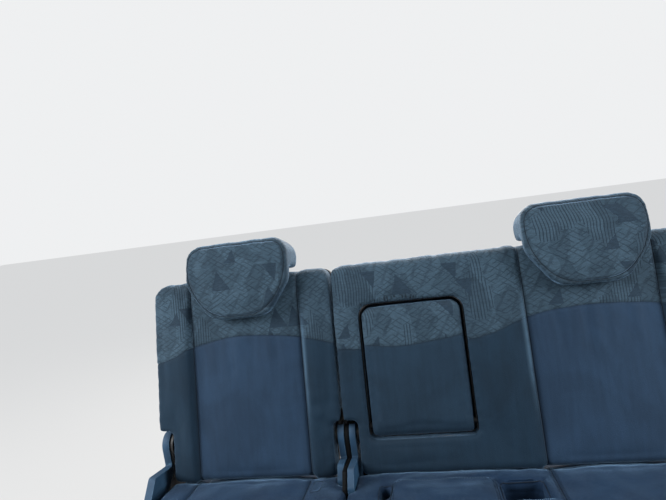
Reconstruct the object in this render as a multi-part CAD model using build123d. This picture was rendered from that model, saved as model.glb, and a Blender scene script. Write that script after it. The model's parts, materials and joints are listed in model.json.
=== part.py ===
from build123d import *
import os
from collections import namedtuple
from math import cos, radians, sin, tan

# Split-folding second-row bench seat of a family car, in millimetres.
# X runs across the bench, the seat faces -Y, Z is up, the floor is z = 0 and the
# origin is on the floor under the middle of the seat's bounding box.
# The bench is two halves, each with a cushion, a back and a head restraint.
# A back folds onto its cushion about the recliner axis, then the whole half tumbles
# forward about its front legs. The wide half holds a fold-down armrest.

# Overall bench
HALF_WIDTH = 672.0  # bench centre to the outer face of each half
BACK_SPLIT_X = -187.5  # middle of the gap between the two backs
BACK_GAP = 8.0
CUSHION_SPLIT_X = -178.0  # middle of the gap between the two cushions
CUSHION_GAP = 8.0
BITE_Y = 137.0  # where the back's front face meets the cushion, from the origin
BITE_Z = 340.0  # height of that line above the floor
RECLINE = 15.0  # lean of the back behind vertical, degrees
FOLD = 93.0  # travel of a back from there to its folded stop, degrees
CUSHION_TILT = 5.5  # rise of the cushion's top towards its nose, degrees
FIT = 0.3  # clearance between pieces that seat on each other
PIN_FIT = 0.1  # clearance round a steel pin
RUN = 5.5  # clearance between pieces that move past each other
SMALL_R, MIDDLE_R, LARGE_R = 4.0, 10.0, 20.0  # usual roundings
PAST = 1.0  # how far a cut runs past a face

# Backs, in a frame whose origin is the recliner axis and whose Z runs up the back
PIVOT_UP = 85.0  # recliner axis above the bite line, along the back
PIVOT_IN = 45.0  # recliner axis behind the back's front face
BACK_HEIGHT = 507.0  # bite line to the top edge, along the back
PAD_T = 65.0  # thickness of the back's padding
PANEL_DEPTH = 30.0  # depth of the hard panel behind the padding
PANEL_WALL = 3.0
PANEL_REAR_R = 26.0  # round rear edges of the panel
BOTTOM_R = 94.0  # round lower edge of the padding, about the recliner axis
PANEL_BOTTOM_R = 70.0  # the same on the hard panel
BACK_CORNER_R = 42.0
BACK_CREST_R = 34.0
NOTCH_TOP = 40.0  # top of the corner notches over the hinges, above the axis
BEAM_LOW, BEAM_HIGH, BEAM_T = 62.0, 92.0, 18.0  # steel beam behind the padding
STRAP_TOP = 130.0  # top of the frame's arms, above the axis

# Cushions, measured from the bite line
CUSHION_DEPTH = 480.0
CUSHION_REAR = 70.0  # how far the cushion runs back under the backrest
CUSHION_DROP = 90.0  # underside below the bite line
BITE_RUN = 6.5  # cushion's dished rear clear of the back's lower edge
NOSE_R = 55.0
CUSHION_INSET = 20.0  # outer side of the cushion, inside the back's outer face
PLATEAU_X, PLATEAU_W = 37.0, 226.0  # raised middle place of the wide cushion
PLATEAU_REAR, PLATEAU_UP = 45.0, 10.0
RECESS_X, RECESS_W = 202.5, 83.0  # buckle pocket in the wide cushion
RECESS_Y, RECESS_L, RECESS_DEEP = -89.0, 64.0, 62.0
WIDE_SLOT_X, WIDE_SLOT_W = -90.0, 20.0  # buckle slots
WIDE_SLOT_Y, WIDE_SLOT_L = -86.0, 54.0
NARROW_SLOT_X, NARROW_SLOT_W = -251.0, 14.0
NARROW_SLOT_Y, NARROW_SLOT_L = -52.0, 46.0
SLOT_DEEP = 55.0
CUSHION_REACH = 90.0  # above everything on the cushions
NOTCH_FIT = 4.0  # cushion ahead of the hinge covers

# Pressed pans under the cushions
PAN_T = 2.5
PAN_LIP = 22.0
PAN_FRONT, PAN_REAR = 24.0, 12.0  # set back from the cushion's nose and rear
SWAGE_PITCH, SWAGE_W, SWAGE_DEEP = 95.0, 46.0, 9.0

# Hinges and recliners at the backs' lower corners
COVER_W = 17.0  # outer recliner cover
TOWER_W = 15.0  # slim inner hinge cover
NARROW_TOWER_OUT, WIDE_TOWER_OUT = 16.5, 27.5  # its outer side from the gap between the backs
NARROW_TOWER_NOSE, WIDE_TOWER_NOSE = 38.0, 76.0  # its front edge ahead of the bite line
PLATE_T = 5.0  # steel plates of hinges and recliners
RECLINER_R = 33.0
EYE_R = 24.0
HINGE_PIN_R = 7.0
COVER_WALL = 2.5
CAP_R = 34.0  # round top of both hinge covers, about the recliner axis
CAP_SLOPE = 0.8  # run for each unit of rise at a cover's nose
COVER_NOSE = 120.0  # outer recliner cover ahead of the bite line
COVER_NOSE_UP, COVER_LOW = 30.0, 14.0  # its nose below the bite line, its foot below the pan
BOSS_R, BOSS_Y = 7.0, -60.0
TOWER_FOOT = -62.0  # lower edge of the tower from the bite line
OUTER_EYE_R, INNER_EYE_R = 30.0, 26.0  # round tops of the plates
OUTER_REACH = 96.0  # recliner plate ahead of the bite line
TOWER_RIM = 6.0  # hinge plate set back from the tower's nose
HINGE_HEEL = 14.0  # rear corner of a plate's foot ahead of the axis
COVER_HEEL = -10.0  # lowest point of a cover's upright rear edge, from the bite line
LEVER_T = 9.0
LEVER_REAR, LEVER_FRONT, LEVER_LOW, LEVER_HIGH = -84.0, -214.0, -100.0, -50.0

# Floor fittings and legs
LEG_IN = 62.0  # outer legs from the half's outer face
INNER_LEG_IN = 23.0  # inner legs from the inner side of each pan
LEG_T = 8.0
PIN_BACK = 50.0  # tumble pin behind the cushion's nose
PIN_Z = 70.0
PIN_R = 6.0
STRIKER_Y, STRIKER_Z = 25.0, 45.0  # rod behind the bite line, and above the floor
FLOOR_PLATE_T = 5.0
FLOOR_PLATE_W, FLOOR_PLATE_L = 74.0, 130.0
BOLT_R, BOLT_SPREAD = 5.5, 98.0
CROSS_TUBE_R = 11.0
FOOT_W, FOOT_L, FOOT_T = 36.0, 66.0, 4.0  # feet of the legs under the pan
FRONT_EYE_R = 17.0  # lower end of a front leg
LEG_TOP_REAR, LEG_TOP_FRONT = 34.0, 22.0  # front leg's top, from its pin
CLAW_W, CLAW_UP, CLAW_DOWN = 20.0, 26.0, 22.0  # rear leg's claw about the rod
CLAW_MOUTH = 12.5
CLAW_TOP = 32.0  # half the rear leg's width under the pan
LIGHT_HOLE_R, LIGHT_HOLE_DOWN = 11.0, 52.0  # hole in each leg, below its top
FOOT_BACK = 6.0  # front foot behind the pin
EAR_T, EAR_CLEAR = 5.0, 0.6  # ears of the front brackets
EAR_R, EAR_FOOT = 15.0, 34.0
PIN_HEAD_R, PIN_HEAD_T = 10.0, 4.0
POST_OUT = 23.0  # striker posts from the legs

# Head restraints, in the frame of the back
HEAD_W = 272.0
HEAD_IN = 253.0  # its middle from the half's outer face
HEAD_LIP, HEAD_TOP = 311.0, 512.0  # lower lip and top above the recliner axis
HEAD_FRONT, HEAD_REAR = 45.0, 18.0  # ahead of the back's front face, behind its padding
HEAD_GAP = 6.0
HEAD_OVER = 11.0  # rear part above the back's top edge
POST_R, POST_SPREAD, POST_DEEP = 6.0, 62.0, 190.0
POST_IN = 37.0  # posts behind the back's front face
POST_SOCKET = 50.0  # posts inside the head restraint
HEAD_TOP_R, HEAD_SIDE_R = 44.0, 60.0  # upper and lower corners seen from the front
HEAD_TAPER, HEAD_TAPER_UP = 62.0, 88.0  # lower corners drawn in and up
HEAD_FACE_R, HEAD_CREST_R = 60.0, 30.0  # roundings of its side section
HEAD_SET = 13.0  # its lip and top set back from the foremost line
HEAD_HEEL, HEAD_SLOPE = 34.0, 22.0  # height of its rear edge, and the slope above it
GUIDE_R, GUIDE_LONG, COLLAR_R, COLLAR_T = 11.0, 85.0, 15.0, 4.0

# Armrest in the wide back, in the frame of the back
ARM_X, ARM_W, ARM_BOTTOM, ARM_LONG, ARM_T = 5.0, 240.0, -4.0, 312.0, 57.0
ARM_GAP = 7.0  # dark gap round the armrest
ARM_CORNER_R = 22.0
ARM_HINGE_IN, ARM_HINGE_UP, ARM_HINGE_R = 22.0, 24.0, 8.0  # from its front and bottom
ARM_HINGE_OUT = 10.0  # hinge tube past the lining on each side
WELL_WALL = 2.0

# One row for each half. side is +1 where its outer side faces +X.
Half = namedtuple("Half", "name side tower_out tower_nose")
HALVES = (
    Half(name="narrow", side=-1, tower_out=NARROW_TOWER_OUT, tower_nose=NARROW_TOWER_NOSE),
    Half(name="wide", side=1, tower_out=WIDE_TOWER_OUT, tower_nose=WIDE_TOWER_NOSE),
)

# Worked out from the sizes above
LEAN = radians(RECLINE)
PIVOT_Y = BITE_Y + PIVOT_UP * sin(LEAN) + PIVOT_IN * cos(LEAN)
PIVOT_Z = BITE_Z + PIVOT_UP * cos(LEAN) - PIVOT_IN * sin(LEAN)
AXIS_Y, AXIS_Z = PIVOT_Y - BITE_Y, PIVOT_Z - BITE_Z  # recliner axis from the bite line
BACK_TOP = BACK_HEIGHT - PIVOT_UP
FRONT = -PIVOT_IN
PAD_REAR = FRONT + PAD_T
PANEL_FRONT = PAD_REAR + FIT
PANEL_REAR = PANEL_FRONT + PANEL_DEPTH
POST_Y = FRONT + POST_IN
ARM_AXIS_Y, ARM_AXIS_Z = FRONT + ARM_HINGE_IN, ARM_BOTTOM + ARM_HINGE_UP
ARM_REACH = ARM_W / 2 + ARM_GAP + WELL_WALL + ARM_HINGE_OUT
ARM_TUBE = (ARM_X - ARM_REACH, ARM_X + ARM_REACH)
NOSE_Y = -CUSHION_DEPTH
PIN_Y = NOSE_Y + PIN_BACK
PAN_TOP = -CUSHION_DROP - FIT
LEG_TOP = PAN_TOP - PAN_T - FIT
BENCH = Pos(0, BITE_Y, BITE_Z)
BACK_FRAME = Location((0, PIVOT_Y, PIVOT_Z), (-RECLINE, 0, 0))


def rounded_face(plane, corners):
    """A face from corners (u, v, radius), each radius held to what its two sides allow."""
    edges, joins = [], []
    for i, (u, v, radius) in enumerate(corners):
        here = Vector(u, v)
        to_last = Vector(*corners[i - 1][:2]) - here
        to_next = Vector(*corners[(i + 1) % len(corners)][:2]) - here
        half_angle = radians(to_last.get_angle(to_next)) / 2
        reach = min(radius / tan(half_angle), 0.48 * to_last.length, 0.48 * to_next.length)
        start, end = here + to_last.normalized() * reach, here + to_next.normalized() * reach
        joins.append((start, end))
        if reach > 0.01:
            used = reach * tan(half_angle)
            inward = (to_last.normalized() + to_next.normalized()).normalized()
            middle = here + inward * (used / sin(half_angle) - used)
            edges.append(ThreePointArc(start, middle, end))
    for i, (start, _) in enumerate(joins):
        edges.append(Line(joins[i - 1][1], start))
    return plane * make_face(edges)


def side_solid(corners, x_a, x_b):
    """A side outline of corners (y, z, radius), between two x positions."""
    low, high = sorted((x_a, x_b))
    return extrude(rounded_face(Plane.YZ.offset(low), corners), high - low)


def front_solid(corners, y_low, y_high):
    """A front outline of corners (x, z, radius), between two y positions."""
    return extrude(rounded_face(Plane.XZ.offset(-y_low), corners), y_low - y_high)


def plan_solid(corners, z_low, z_high):
    """A plan outline of corners (x, y, radius), between two heights."""
    return extrude(rounded_face(Plane.XY.offset(z_low), corners), z_high - z_low)


def block(x_a, x_b, y_a, y_b, z_a, z_b):
    """A plain block between pairs of positions given in either order."""
    return Pos((x_a + x_b) / 2, (y_a + y_b) / 2, (z_a + z_b) / 2) * Box(
        abs(x_b - x_a), abs(y_b - y_a), abs(z_b - z_a)
    )


def rod_x(radius, x_a, x_b, y, z):
    """A round rod along X."""
    return Pos((x_a + x_b) / 2, y, z) * Rot(0, 90, 0) * Cylinder(radius, abs(x_b - x_a))


def post_z(radius, x, y, z_low, z_high):
    """A round rod along Z."""
    return Pos(x, y, (z_low + z_high) / 2) * Cylinder(radius, z_high - z_low)


def cushion_top(y):
    """Height of the cushion's top over the bite line, at y from that line."""
    return -y * tan(radians(CUSHION_TILT))


def folded_face(y):
    """Height that a piece below the folded back may reach, at y from the bite line."""
    lean = radians(FOLD - RECLINE)
    return AXIS_Z - (PIVOT_IN + RUN + (y - AXIS_Y) * cos(lean)) / sin(lean)


def back_inner(half):
    """Inner side of the half's back."""
    return BACK_SPLIT_X + half.side * BACK_GAP / 2


def cushion_inner(half):
    """Inner side of the half's cushion."""
    return CUSHION_SPLIT_X + half.side * CUSHION_GAP / 2


def outer_x(half, inset):
    """An x position set in from the outer face of the half."""
    return half.side * (HALF_WIDTH - inset)


def tower_x(half, outward):
    """An x position outward from the tower's outer-facing side."""
    return BACK_SPLIT_X + half.side * (half.tower_out + outward)


# Stations across a half: the arm that swings with the back and the plate that stays
# with the cushion, at the outer recliner and at the inner hinge.
OUTER_PLATE = (COVER_W + 2.0, COVER_W + 2.0 + PLATE_T)
OUTER_ARM = (OUTER_PLATE[1] + PLATE_T, OUTER_PLATE[1] + 2 * PLATE_T)
OUTER_NOTCH = OUTER_ARM[1] + 4.0
INNER_PLATE = (-(TOWER_W - PLATE_T) / 2 - PLATE_T, -(TOWER_W - PLATE_T) / 2)
INNER_ARM = (2.5, 2.5 + PLATE_T)
INNER_NOTCH = INNER_ARM[1] + 3.5


def back_outline(half, inset=0.0):
    """Front outline of a back with its two hinge notches, drawn in by an inset."""
    outer, inner = outer_x(half, inset), back_inner(half) + half.side * inset
    top, low = BACK_TOP - inset, -BOTTOM_R - PAST
    return [
        (outer, top, BACK_CORNER_R),
        (outer, NOTCH_TOP + inset, SMALL_R),
        (outer_x(half, OUTER_NOTCH + inset), NOTCH_TOP + inset, SMALL_R),
        (outer_x(half, OUTER_NOTCH + inset), low, 0),
        (tower_x(half, INNER_NOTCH + inset), low, 0),
        (tower_x(half, INNER_NOTCH + inset), NOTCH_TOP + inset, SMALL_R),
        (inner, NOTCH_TOP + inset, SMALL_R),
        (inner, top, BACK_CORNER_R * 0.5),
    ]


def back_section(y_low, y_high, crest_front, crest_rear, lower):
    """Side section of a back between two depths, round about the recliner axis below."""
    upper = rounded_face(
        Plane.YZ,
        [(y_low, BACK_TOP, crest_front), (y_high, BACK_TOP, crest_rear), (y_high, 0, 0), (y_low, 0, 0)],
    )
    width = y_high - y_low
    strip = Plane.YZ * (Pos((y_low + y_high) / 2, -lower / 2) * Rectangle(width, lower))
    return upper + (strip & (Plane.YZ * Circle(lower)))


def across(section):
    """A side section run over the whole width of the bench."""
    return extrude(Pos(-HALF_WIDTH - 5, 0, 0) * section, 2 * HALF_WIDTH + 10)


def well_corners(grow):
    """Outline of the armrest's well, grown past the armrest."""
    low_x, high_x = ARM_X - ARM_W / 2 - grow, ARM_X + ARM_W / 2 + grow
    low_z, high_z = ARM_BOTTOM - grow, ARM_BOTTOM + ARM_LONG + grow
    return [
        (low_x, high_z, ARM_CORNER_R + grow), (high_x, high_z, ARM_CORNER_R + grow),
        (high_x, low_z, MIDDLE_R), (low_x, low_z, MIDDLE_R),
    ]


def post_places(half):
    """The x positions of the two head restraint posts."""
    middle = outer_x(half, HEAD_IN)
    return [middle - POST_SPREAD, middle + POST_SPREAD]


def back_cushion(half):
    """Padding of a back, with bores for the posts and, on the wide half, the armrest's well."""
    pad = front_solid(back_outline(half), FRONT, PAD_REAR)
    pad &= across(back_section(FRONT, PAD_REAR, BACK_CREST_R, MIDDLE_R, BOTTOM_R))
    for x in post_places(half):
        pad -= post_z(GUIDE_R + FIT, x, POST_Y, BACK_TOP - POST_DEEP - 10, BACK_TOP + 1)
    if half.name == "wide":
        pad -= front_solid(well_corners(ARM_GAP + WELL_WALL + FIT), FRONT - 1, PAD_REAR + 1)
        pad -= rod_x(ARM_HINGE_R + FIT, ARM_TUBE[0] - 1, ARM_TUBE[1] + 1, ARM_AXIS_Y, ARM_AXIS_Z)
    return BACK_FRAME * pad


def arm_stations(half):
    """x ranges of the back's outer and inner arms."""
    outer = (outer_x(half, OUTER_ARM[0]), outer_x(half, OUTER_ARM[1]))
    inner = (tower_x(half, INNER_ARM[0]), tower_x(half, INNER_ARM[1]))
    return outer, inner


def back_frame(half):
    """Two arms from the recliner axis into the back, joined by a beam behind the padding."""
    behind = PANEL_FRONT + FIT
    strap = [
        (-EYE_R * 0.7, 0, 0), (-EYE_R * 0.5, NOTCH_TOP * 0.45, SMALL_R), (behind, NOTCH_TOP - 3, SMALL_R),
        (behind, STRAP_TOP, SMALL_R), (behind + BEAM_T, STRAP_TOP, MIDDLE_R),
        (behind + BEAM_T, MIDDLE_R, LARGE_R),
        (EYE_R * 0.5, -EYE_R * 0.7, 0),
    ]
    frame = None
    for x_a, x_b in arm_stations(half):
        arm = side_solid(strap, x_a, x_b) + rod_x(EYE_R, x_a, x_b, 0, 0)
        arm -= rod_x(HINGE_PIN_R + PIN_FIT, min(x_a, x_b) - 1, max(x_a, x_b) + 1, 0, 0)
        frame = arm if frame is None else frame + arm
    (x_a, _), (x_b, _) = arm_stations(half)
    frame += block(x_a, x_b, behind, behind + BEAM_T, BEAM_LOW, BEAM_HIGH)
    return BACK_FRAME * frame


def back_panel(half):
    """Hard rear panel: a tray whose rim meets the padding, open below for the arms."""
    outside = front_solid(back_outline(half), PANEL_FRONT, PANEL_REAR)
    outside &= across(back_section(PANEL_FRONT, PANEL_REAR, 0, PANEL_REAR_R, PANEL_BOTTOM_R))
    inside = front_solid(back_outline(half, PANEL_WALL), PANEL_FRONT - 1, PANEL_REAR - PANEL_WALL)
    inside &= across(
        back_section(
            PANEL_FRONT - 1, PANEL_REAR - PANEL_WALL, 0, PANEL_REAR_R - PANEL_WALL,
            PANEL_BOTTOM_R - PANEL_WALL,
        )
    )
    panel = outside - inside
    for x_a, x_b in arm_stations(half):
        low, high = sorted((x_a, x_b))
        panel -= block(
            low - 2, high + 2, PANEL_FRONT - 1, PANEL_REAR - PANEL_WALL, -PANEL_BOTTOM_R, STRAP_TOP
        )
    return BACK_FRAME * panel


def headrest_guides(half):
    """Collared sleeves for the posts, seated on the back's top edge."""
    sleeves = []
    for x in post_places(half):
        sleeve = post_z(GUIDE_R, x, POST_Y, BACK_TOP - GUIDE_LONG, BACK_TOP + FIT + COLLAR_T)
        sleeve += post_z(COLLAR_R, x, POST_Y, BACK_TOP + FIT, BACK_TOP + FIT + COLLAR_T)
        sleeve -= post_z(POST_R + FIT, x, POST_Y, BACK_TOP - GUIDE_LONG - 1, BACK_TOP + COLLAR_T + 2)
        sleeves.append(BACK_FRAME * sleeve)
    return Compound(sleeves)


def headrest_pad(half):
    """Saddle-shaped head restraint: a deep front lip, and a rear part over the back's top."""
    front, behind = FRONT - HEAD_FRONT, PAD_REAR + HEAD_REAR
    shoulder, under = FRONT - HEAD_GAP, BACK_TOP + HEAD_OVER
    outline = [
        (front, HEAD_LIP + HEAD_HEEL, HEAD_FACE_R), (front + HEAD_SET / 2, HEAD_LIP, MIDDLE_R),
        (shoulder, HEAD_LIP, MIDDLE_R), (shoulder, under, LARGE_R), (behind - HEAD_SET, under, LARGE_R),
        (behind, under + HEAD_HEEL, HEAD_CREST_R), (behind - HEAD_SLOPE, HEAD_TOP, HEAD_CREST_R),
        (front + HEAD_SET, HEAD_TOP, HEAD_CREST_R), (front, HEAD_TOP - HEAD_FACE_R, HEAD_FACE_R),
    ]
    low, high = outer_x(half, HEAD_IN) - HEAD_W / 2, outer_x(half, HEAD_IN) + HEAD_W / 2
    side_low = HEAD_LIP + HEAD_TAPER_UP
    face = [
        (low, HEAD_TOP, HEAD_TOP_R), (high, HEAD_TOP, HEAD_TOP_R), (high, side_low, HEAD_SIDE_R),
        (high - HEAD_TAPER, HEAD_LIP, HEAD_SIDE_R), (low + HEAD_TAPER, HEAD_LIP, HEAD_SIDE_R),
        (low, side_low, HEAD_SIDE_R),
    ]
    pad = side_solid(outline, low, high) & front_solid(face, front - 1, behind + 1)
    for x in post_places(half):
        pad -= post_z(POST_R + FIT, x, POST_Y, under - 1, under + POST_SOCKET + FIT)
    return BACK_FRAME * pad


def headrest_posts(half):
    """The two steel posts of a head restraint."""
    top = BACK_TOP + HEAD_OVER + POST_SOCKET
    low = BACK_TOP - POST_DEEP
    return Compound([BACK_FRAME * post_z(POST_R, x, POST_Y, low, top) for x in post_places(half)])


def armrest_pad():
    """Padded armrest that fills the well, rounded where it turns in it."""
    rear = FRONT + ARM_T
    low_z, high_z = ARM_BOTTOM, ARM_BOTTOM + ARM_LONG
    outline = [
        (FRONT, high_z, LARGE_R), (rear, high_z, MIDDLE_R), (rear, low_z, LARGE_R), (FRONT, low_z, LARGE_R),
    ]
    pad = side_solid(outline, ARM_X - ARM_W / 2, ARM_X + ARM_W / 2)
    pad &= front_solid(well_corners(0), FRONT - 1, rear + 1)
    pad -= rod_x(ARM_HINGE_R + FIT, ARM_TUBE[0], ARM_TUBE[1], ARM_AXIS_Y, ARM_AXIS_Z)
    return BACK_FRAME * pad


def armrest_hinge():
    """Steel tube through the armrest's lower end, carried by the well's lining."""
    tube = rod_x(ARM_HINGE_R, ARM_TUBE[0], ARM_TUBE[1], ARM_AXIS_Y, ARM_AXIS_Z)
    tube -= rod_x(ARM_HINGE_R - 2, ARM_TUBE[0] - 1, ARM_TUBE[1] + 1, ARM_AXIS_Y, ARM_AXIS_Z)
    return BACK_FRAME * tube


def armrest_well():
    """Lining of the well: an open tray with holes for the hinge tube."""
    front, rear = FRONT + 14, PAD_REAR - FIT
    tray = front_solid(well_corners(ARM_GAP + WELL_WALL), front, rear)
    tray -= front_solid(well_corners(ARM_GAP), front - 1, rear - WELL_WALL)
    tray -= rod_x(ARM_HINGE_R + FIT, ARM_TUBE[0], ARM_TUBE[1], ARM_AXIS_Y, ARM_AXIS_Z)
    return BACK_FRAME * tray


def cushion(half):
    """Seat cushion with a rounded nose, its rear dished under the back and notched for the hinges."""
    low = -CUSHION_DROP
    section = [
        (NOSE_Y, cushion_top(NOSE_Y), NOSE_R), (CUSHION_REAR, cushion_top(CUSHION_REAR), MIDDLE_R),
        (CUSHION_REAR, low, MIDDLE_R), (NOSE_Y + PAN_FRONT, low, LARGE_R),
        (NOSE_Y, low - cushion_top(NOSE_Y) / low * NOSE_R, NOSE_R),
    ]
    outer, inner = outer_x(half, CUSHION_INSET), cushion_inner(half)
    tower_front, cover_front = -half.tower_nose - NOTCH_FIT, -COVER_NOSE - NOTCH_FIT
    eye_front = AXIS_Y - EYE_R - RUN
    plan = [
        (outer, NOSE_Y, BACK_CORNER_R), (inner, NOSE_Y, LARGE_R),
        (inner, tower_front, SMALL_R), (tower_x(half, PAST), tower_front, SMALL_R),
        (tower_x(half, PAST), eye_front, 0), (tower_x(half, INNER_NOTCH), eye_front, SMALL_R),
        (tower_x(half, INNER_NOTCH), CUSHION_REAR, SMALL_R),
        (outer_x(half, OUTER_NOTCH), CUSHION_REAR, SMALL_R),
        (outer_x(half, OUTER_NOTCH), cover_front, SMALL_R), (outer, cover_front, SMALL_R),
    ]
    pad = plan_solid(plan, low - PAST, CUSHION_REACH) & side_solid(section, outer, inner)
    pad -= rod_x(BOTTOM_R + BITE_RUN, outer, inner, AXIS_Y, AXIS_Z)
    if half.name == "wide":
        pad += centre_plateau()
        pad -= pocket(RECESS_X, RECESS_Y, RECESS_W, RECESS_L, RECESS_DEEP, MIDDLE_R)
        pad -= pocket(WIDE_SLOT_X, WIDE_SLOT_Y, WIDE_SLOT_W, WIDE_SLOT_L, SLOT_DEEP, SMALL_R)
    else:
        pad -= pocket(NARROW_SLOT_X, NARROW_SLOT_Y, NARROW_SLOT_W, NARROW_SLOT_L, SLOT_DEEP, SMALL_R)
    return BENCH * pad


def centre_plateau():
    """The raised middle seating place between the buckles."""
    low, high = PLATEAU_X - PLATEAU_W / 2, PLATEAU_X + PLATEAU_W / 2
    front = NOSE_Y + NOSE_R
    sides = ((low, front), (high, front), (high, -PLATEAU_REAR), (low, -PLATEAU_REAR))
    plan = [(x, y, LARGE_R) for x, y in sides]
    top_front, top_rear = (cushion_top(y) + PLATEAU_UP for y in (front, -PLATEAU_REAR))
    section = [
        (front, top_front, LARGE_R), (-PLATEAU_REAR, top_rear, SMALL_R),
        (-PLATEAU_REAR, -PLATEAU_UP, 0), (front, -PLATEAU_UP, 0),
    ]
    return plan_solid(plan, -PLATEAU_UP, CUSHION_REACH) & side_solid(section, low, high)


def pocket(x, y, width, length, deep, corner):
    """A pocket cut down into a cushion from above."""
    x_a, x_b, y_a, y_b = x - width / 2, x + width / 2, y - length / 2, y + length / 2
    plan = [(x_a, y_a, corner), (x_b, y_a, corner), (x_b, y_b, corner), (x_a, y_b, corner)]
    return plan_solid(plan, cushion_top(y) - deep, CUSHION_REACH)


def pan_sides(half):
    """Outer and inner x of the pan, which meet the recliner plate and the hinge plate."""
    return outer_x(half, OUTER_PLATE[1] + FIT), tower_x(half, INNER_PLATE[1] + FIT)


def leg_places(half):
    """The x positions of the outer and inner legs."""
    return outer_x(half, LEG_IN), pan_sides(half)[1] + half.side * INNER_LEG_IN


def cushion_pan(half):
    """Pressed steel pan with turned-down edges and swages that run fore and aft."""
    low, high = sorted(pan_sides(half))
    legs = sorted(leg_places(half))
    room = legs[1] - legs[0] - 2 * INNER_LEG_IN - SWAGE_W
    count = int(room / SWAGE_PITCH) + 1
    first = (legs[0] + legs[1] - (count - 1) * SWAGE_PITCH) / 2
    skin = [(low, PAN_TOP - PAN_LIP), (low, PAN_TOP)]
    for i in range(count):
        x = first + i * SWAGE_PITCH
        skin += [
            (x - SWAGE_W / 2, PAN_TOP), (x - SWAGE_W / 2 + SWAGE_DEEP, PAN_TOP - SWAGE_DEEP),
            (x + SWAGE_W / 2 - SWAGE_DEEP, PAN_TOP - SWAGE_DEEP), (x + SWAGE_W / 2, PAN_TOP),
        ]
    skin += [(high, PAN_TOP), (high, PAN_TOP - PAN_LIP)]
    under = [(low + PAN_T, PAN_TOP - PAN_LIP), (low + PAN_T, PAN_TOP - PAN_T)]
    under += [(x, z - PAN_T) for x, z in skin[2:-2]]
    under += [(high - PAN_T, PAN_TOP - PAN_T), (high - PAN_T, PAN_TOP - PAN_LIP)]
    corners = [(x, z, 0) for x, z in skin + under[::-1]]
    pan = front_solid(corners, NOSE_Y + PAN_FRONT, CUSHION_REAR - PAN_REAR)
    return BENCH * pan


def leg_pair(half, outline, eye, foot_y, tube_y, tube_z):
    """Two plate legs under the pan with feet, joined by a cross tube."""
    pair = None
    places = sorted(leg_places(half))
    for x in places:
        foot = Pos(x, foot_y, LEG_TOP - FOOT_T / 2) * Box(FOOT_W, FOOT_L, FOOT_T)
        leg = eye(side_solid(outline, x - LEG_T / 2, x + LEG_T / 2) + foot, x)
        pair = leg if pair is None else pair + leg
    pair += rod_x(CROSS_TUBE_R, places[0], places[1], tube_y, tube_z)
    return BENCH * pair


def front_legs(half):
    """Front legs, which turn on the pins of the floor brackets."""
    pin_z = PIN_Z - BITE_Z
    outline = [
        (PIN_Y - FRONT_EYE_R, pin_z, 0), (PIN_Y - LEG_TOP_FRONT, LEG_TOP, 0),
        (PIN_Y + LEG_TOP_REAR, LEG_TOP, 0), (PIN_Y + FRONT_EYE_R, pin_z, 0),
    ]

    def eye(leg, x):
        """Round lower end with a bore, and a lightening hole above it."""
        x_a, x_b = x - LEG_T / 2, x + LEG_T / 2
        leg += rod_x(FRONT_EYE_R, x_a, x_b, PIN_Y, pin_z)
        leg -= rod_x(PIN_R + PIN_FIT, x_a - 1, x_b + 1, PIN_Y, pin_z)
        return leg - rod_x(LIGHT_HOLE_R, x_a - 1, x_b + 1, PIN_Y + FOOT_BACK, LEG_TOP - LIGHT_HOLE_DOWN)

    return leg_pair(half, outline, eye, PIN_Y + FOOT_BACK, PIN_Y, (LEG_TOP + pin_z) / 2)


def rear_legs(half):
    """Rear legs, whose claws stand over the strikers' rods."""
    rod_z = STRIKER_Z - BITE_Z
    low, waist = rod_z - CLAW_DOWN, rod_z + CLAW_UP
    outline = [
        (STRIKER_Y - CLAW_W, low, MIDDLE_R), (STRIKER_Y - CLAW_W, waist, LARGE_R),
        (STRIKER_Y - CLAW_TOP, LEG_TOP, 0), (STRIKER_Y + CLAW_TOP, LEG_TOP, 0),
        (STRIKER_Y + CLAW_W, waist, LARGE_R), (STRIKER_Y + CLAW_W, low, MIDDLE_R),
    ]
    mouth = [
        (STRIKER_Y - PIN_R - FIT, rod_z, 0), (STRIKER_Y + PIN_R + FIT, rod_z, 0),
        (STRIKER_Y + CLAW_MOUTH, low - 1, 0), (STRIKER_Y - CLAW_MOUTH, low - 1, 0),
    ]

    def eye(leg, x):
        """Claw open below, and a lightening hole above it."""
        x_a, x_b = x - LEG_T / 2 - 1, x + LEG_T / 2 + 1
        leg -= rod_x(PIN_R + FIT, x_a, x_b, STRIKER_Y, rod_z)
        leg -= side_solid(mouth, x_a, x_b)
        return leg - rod_x(LIGHT_HOLE_R, x_a, x_b, STRIKER_Y, LEG_TOP - LIGHT_HOLE_DOWN)

    return leg_pair(half, outline, eye, STRIKER_Y, STRIKER_Y, (LEG_TOP + rod_z) / 2 - CROSS_TUBE_R)


def plate_outline(eye_r, reach):
    """Side outline of a hinge plate that stands on the pan's edge, from the bite line."""
    foot = PAN_TOP - PAN_LIP
    return [
        (AXIS_Y - eye_r, AXIS_Z, 0), (AXIS_Y - eye_r, MIDDLE_R, LARGE_R),
        (-reach, PAN_TOP + SMALL_R, MIDDLE_R), (-reach, foot, SMALL_R),
        (AXIS_Y - HINGE_HEEL, foot, MIDDLE_R), (AXIS_Y + eye_r, 0, eye_r), (AXIS_Y + eye_r, AXIS_Z, 0),
    ]


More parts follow.
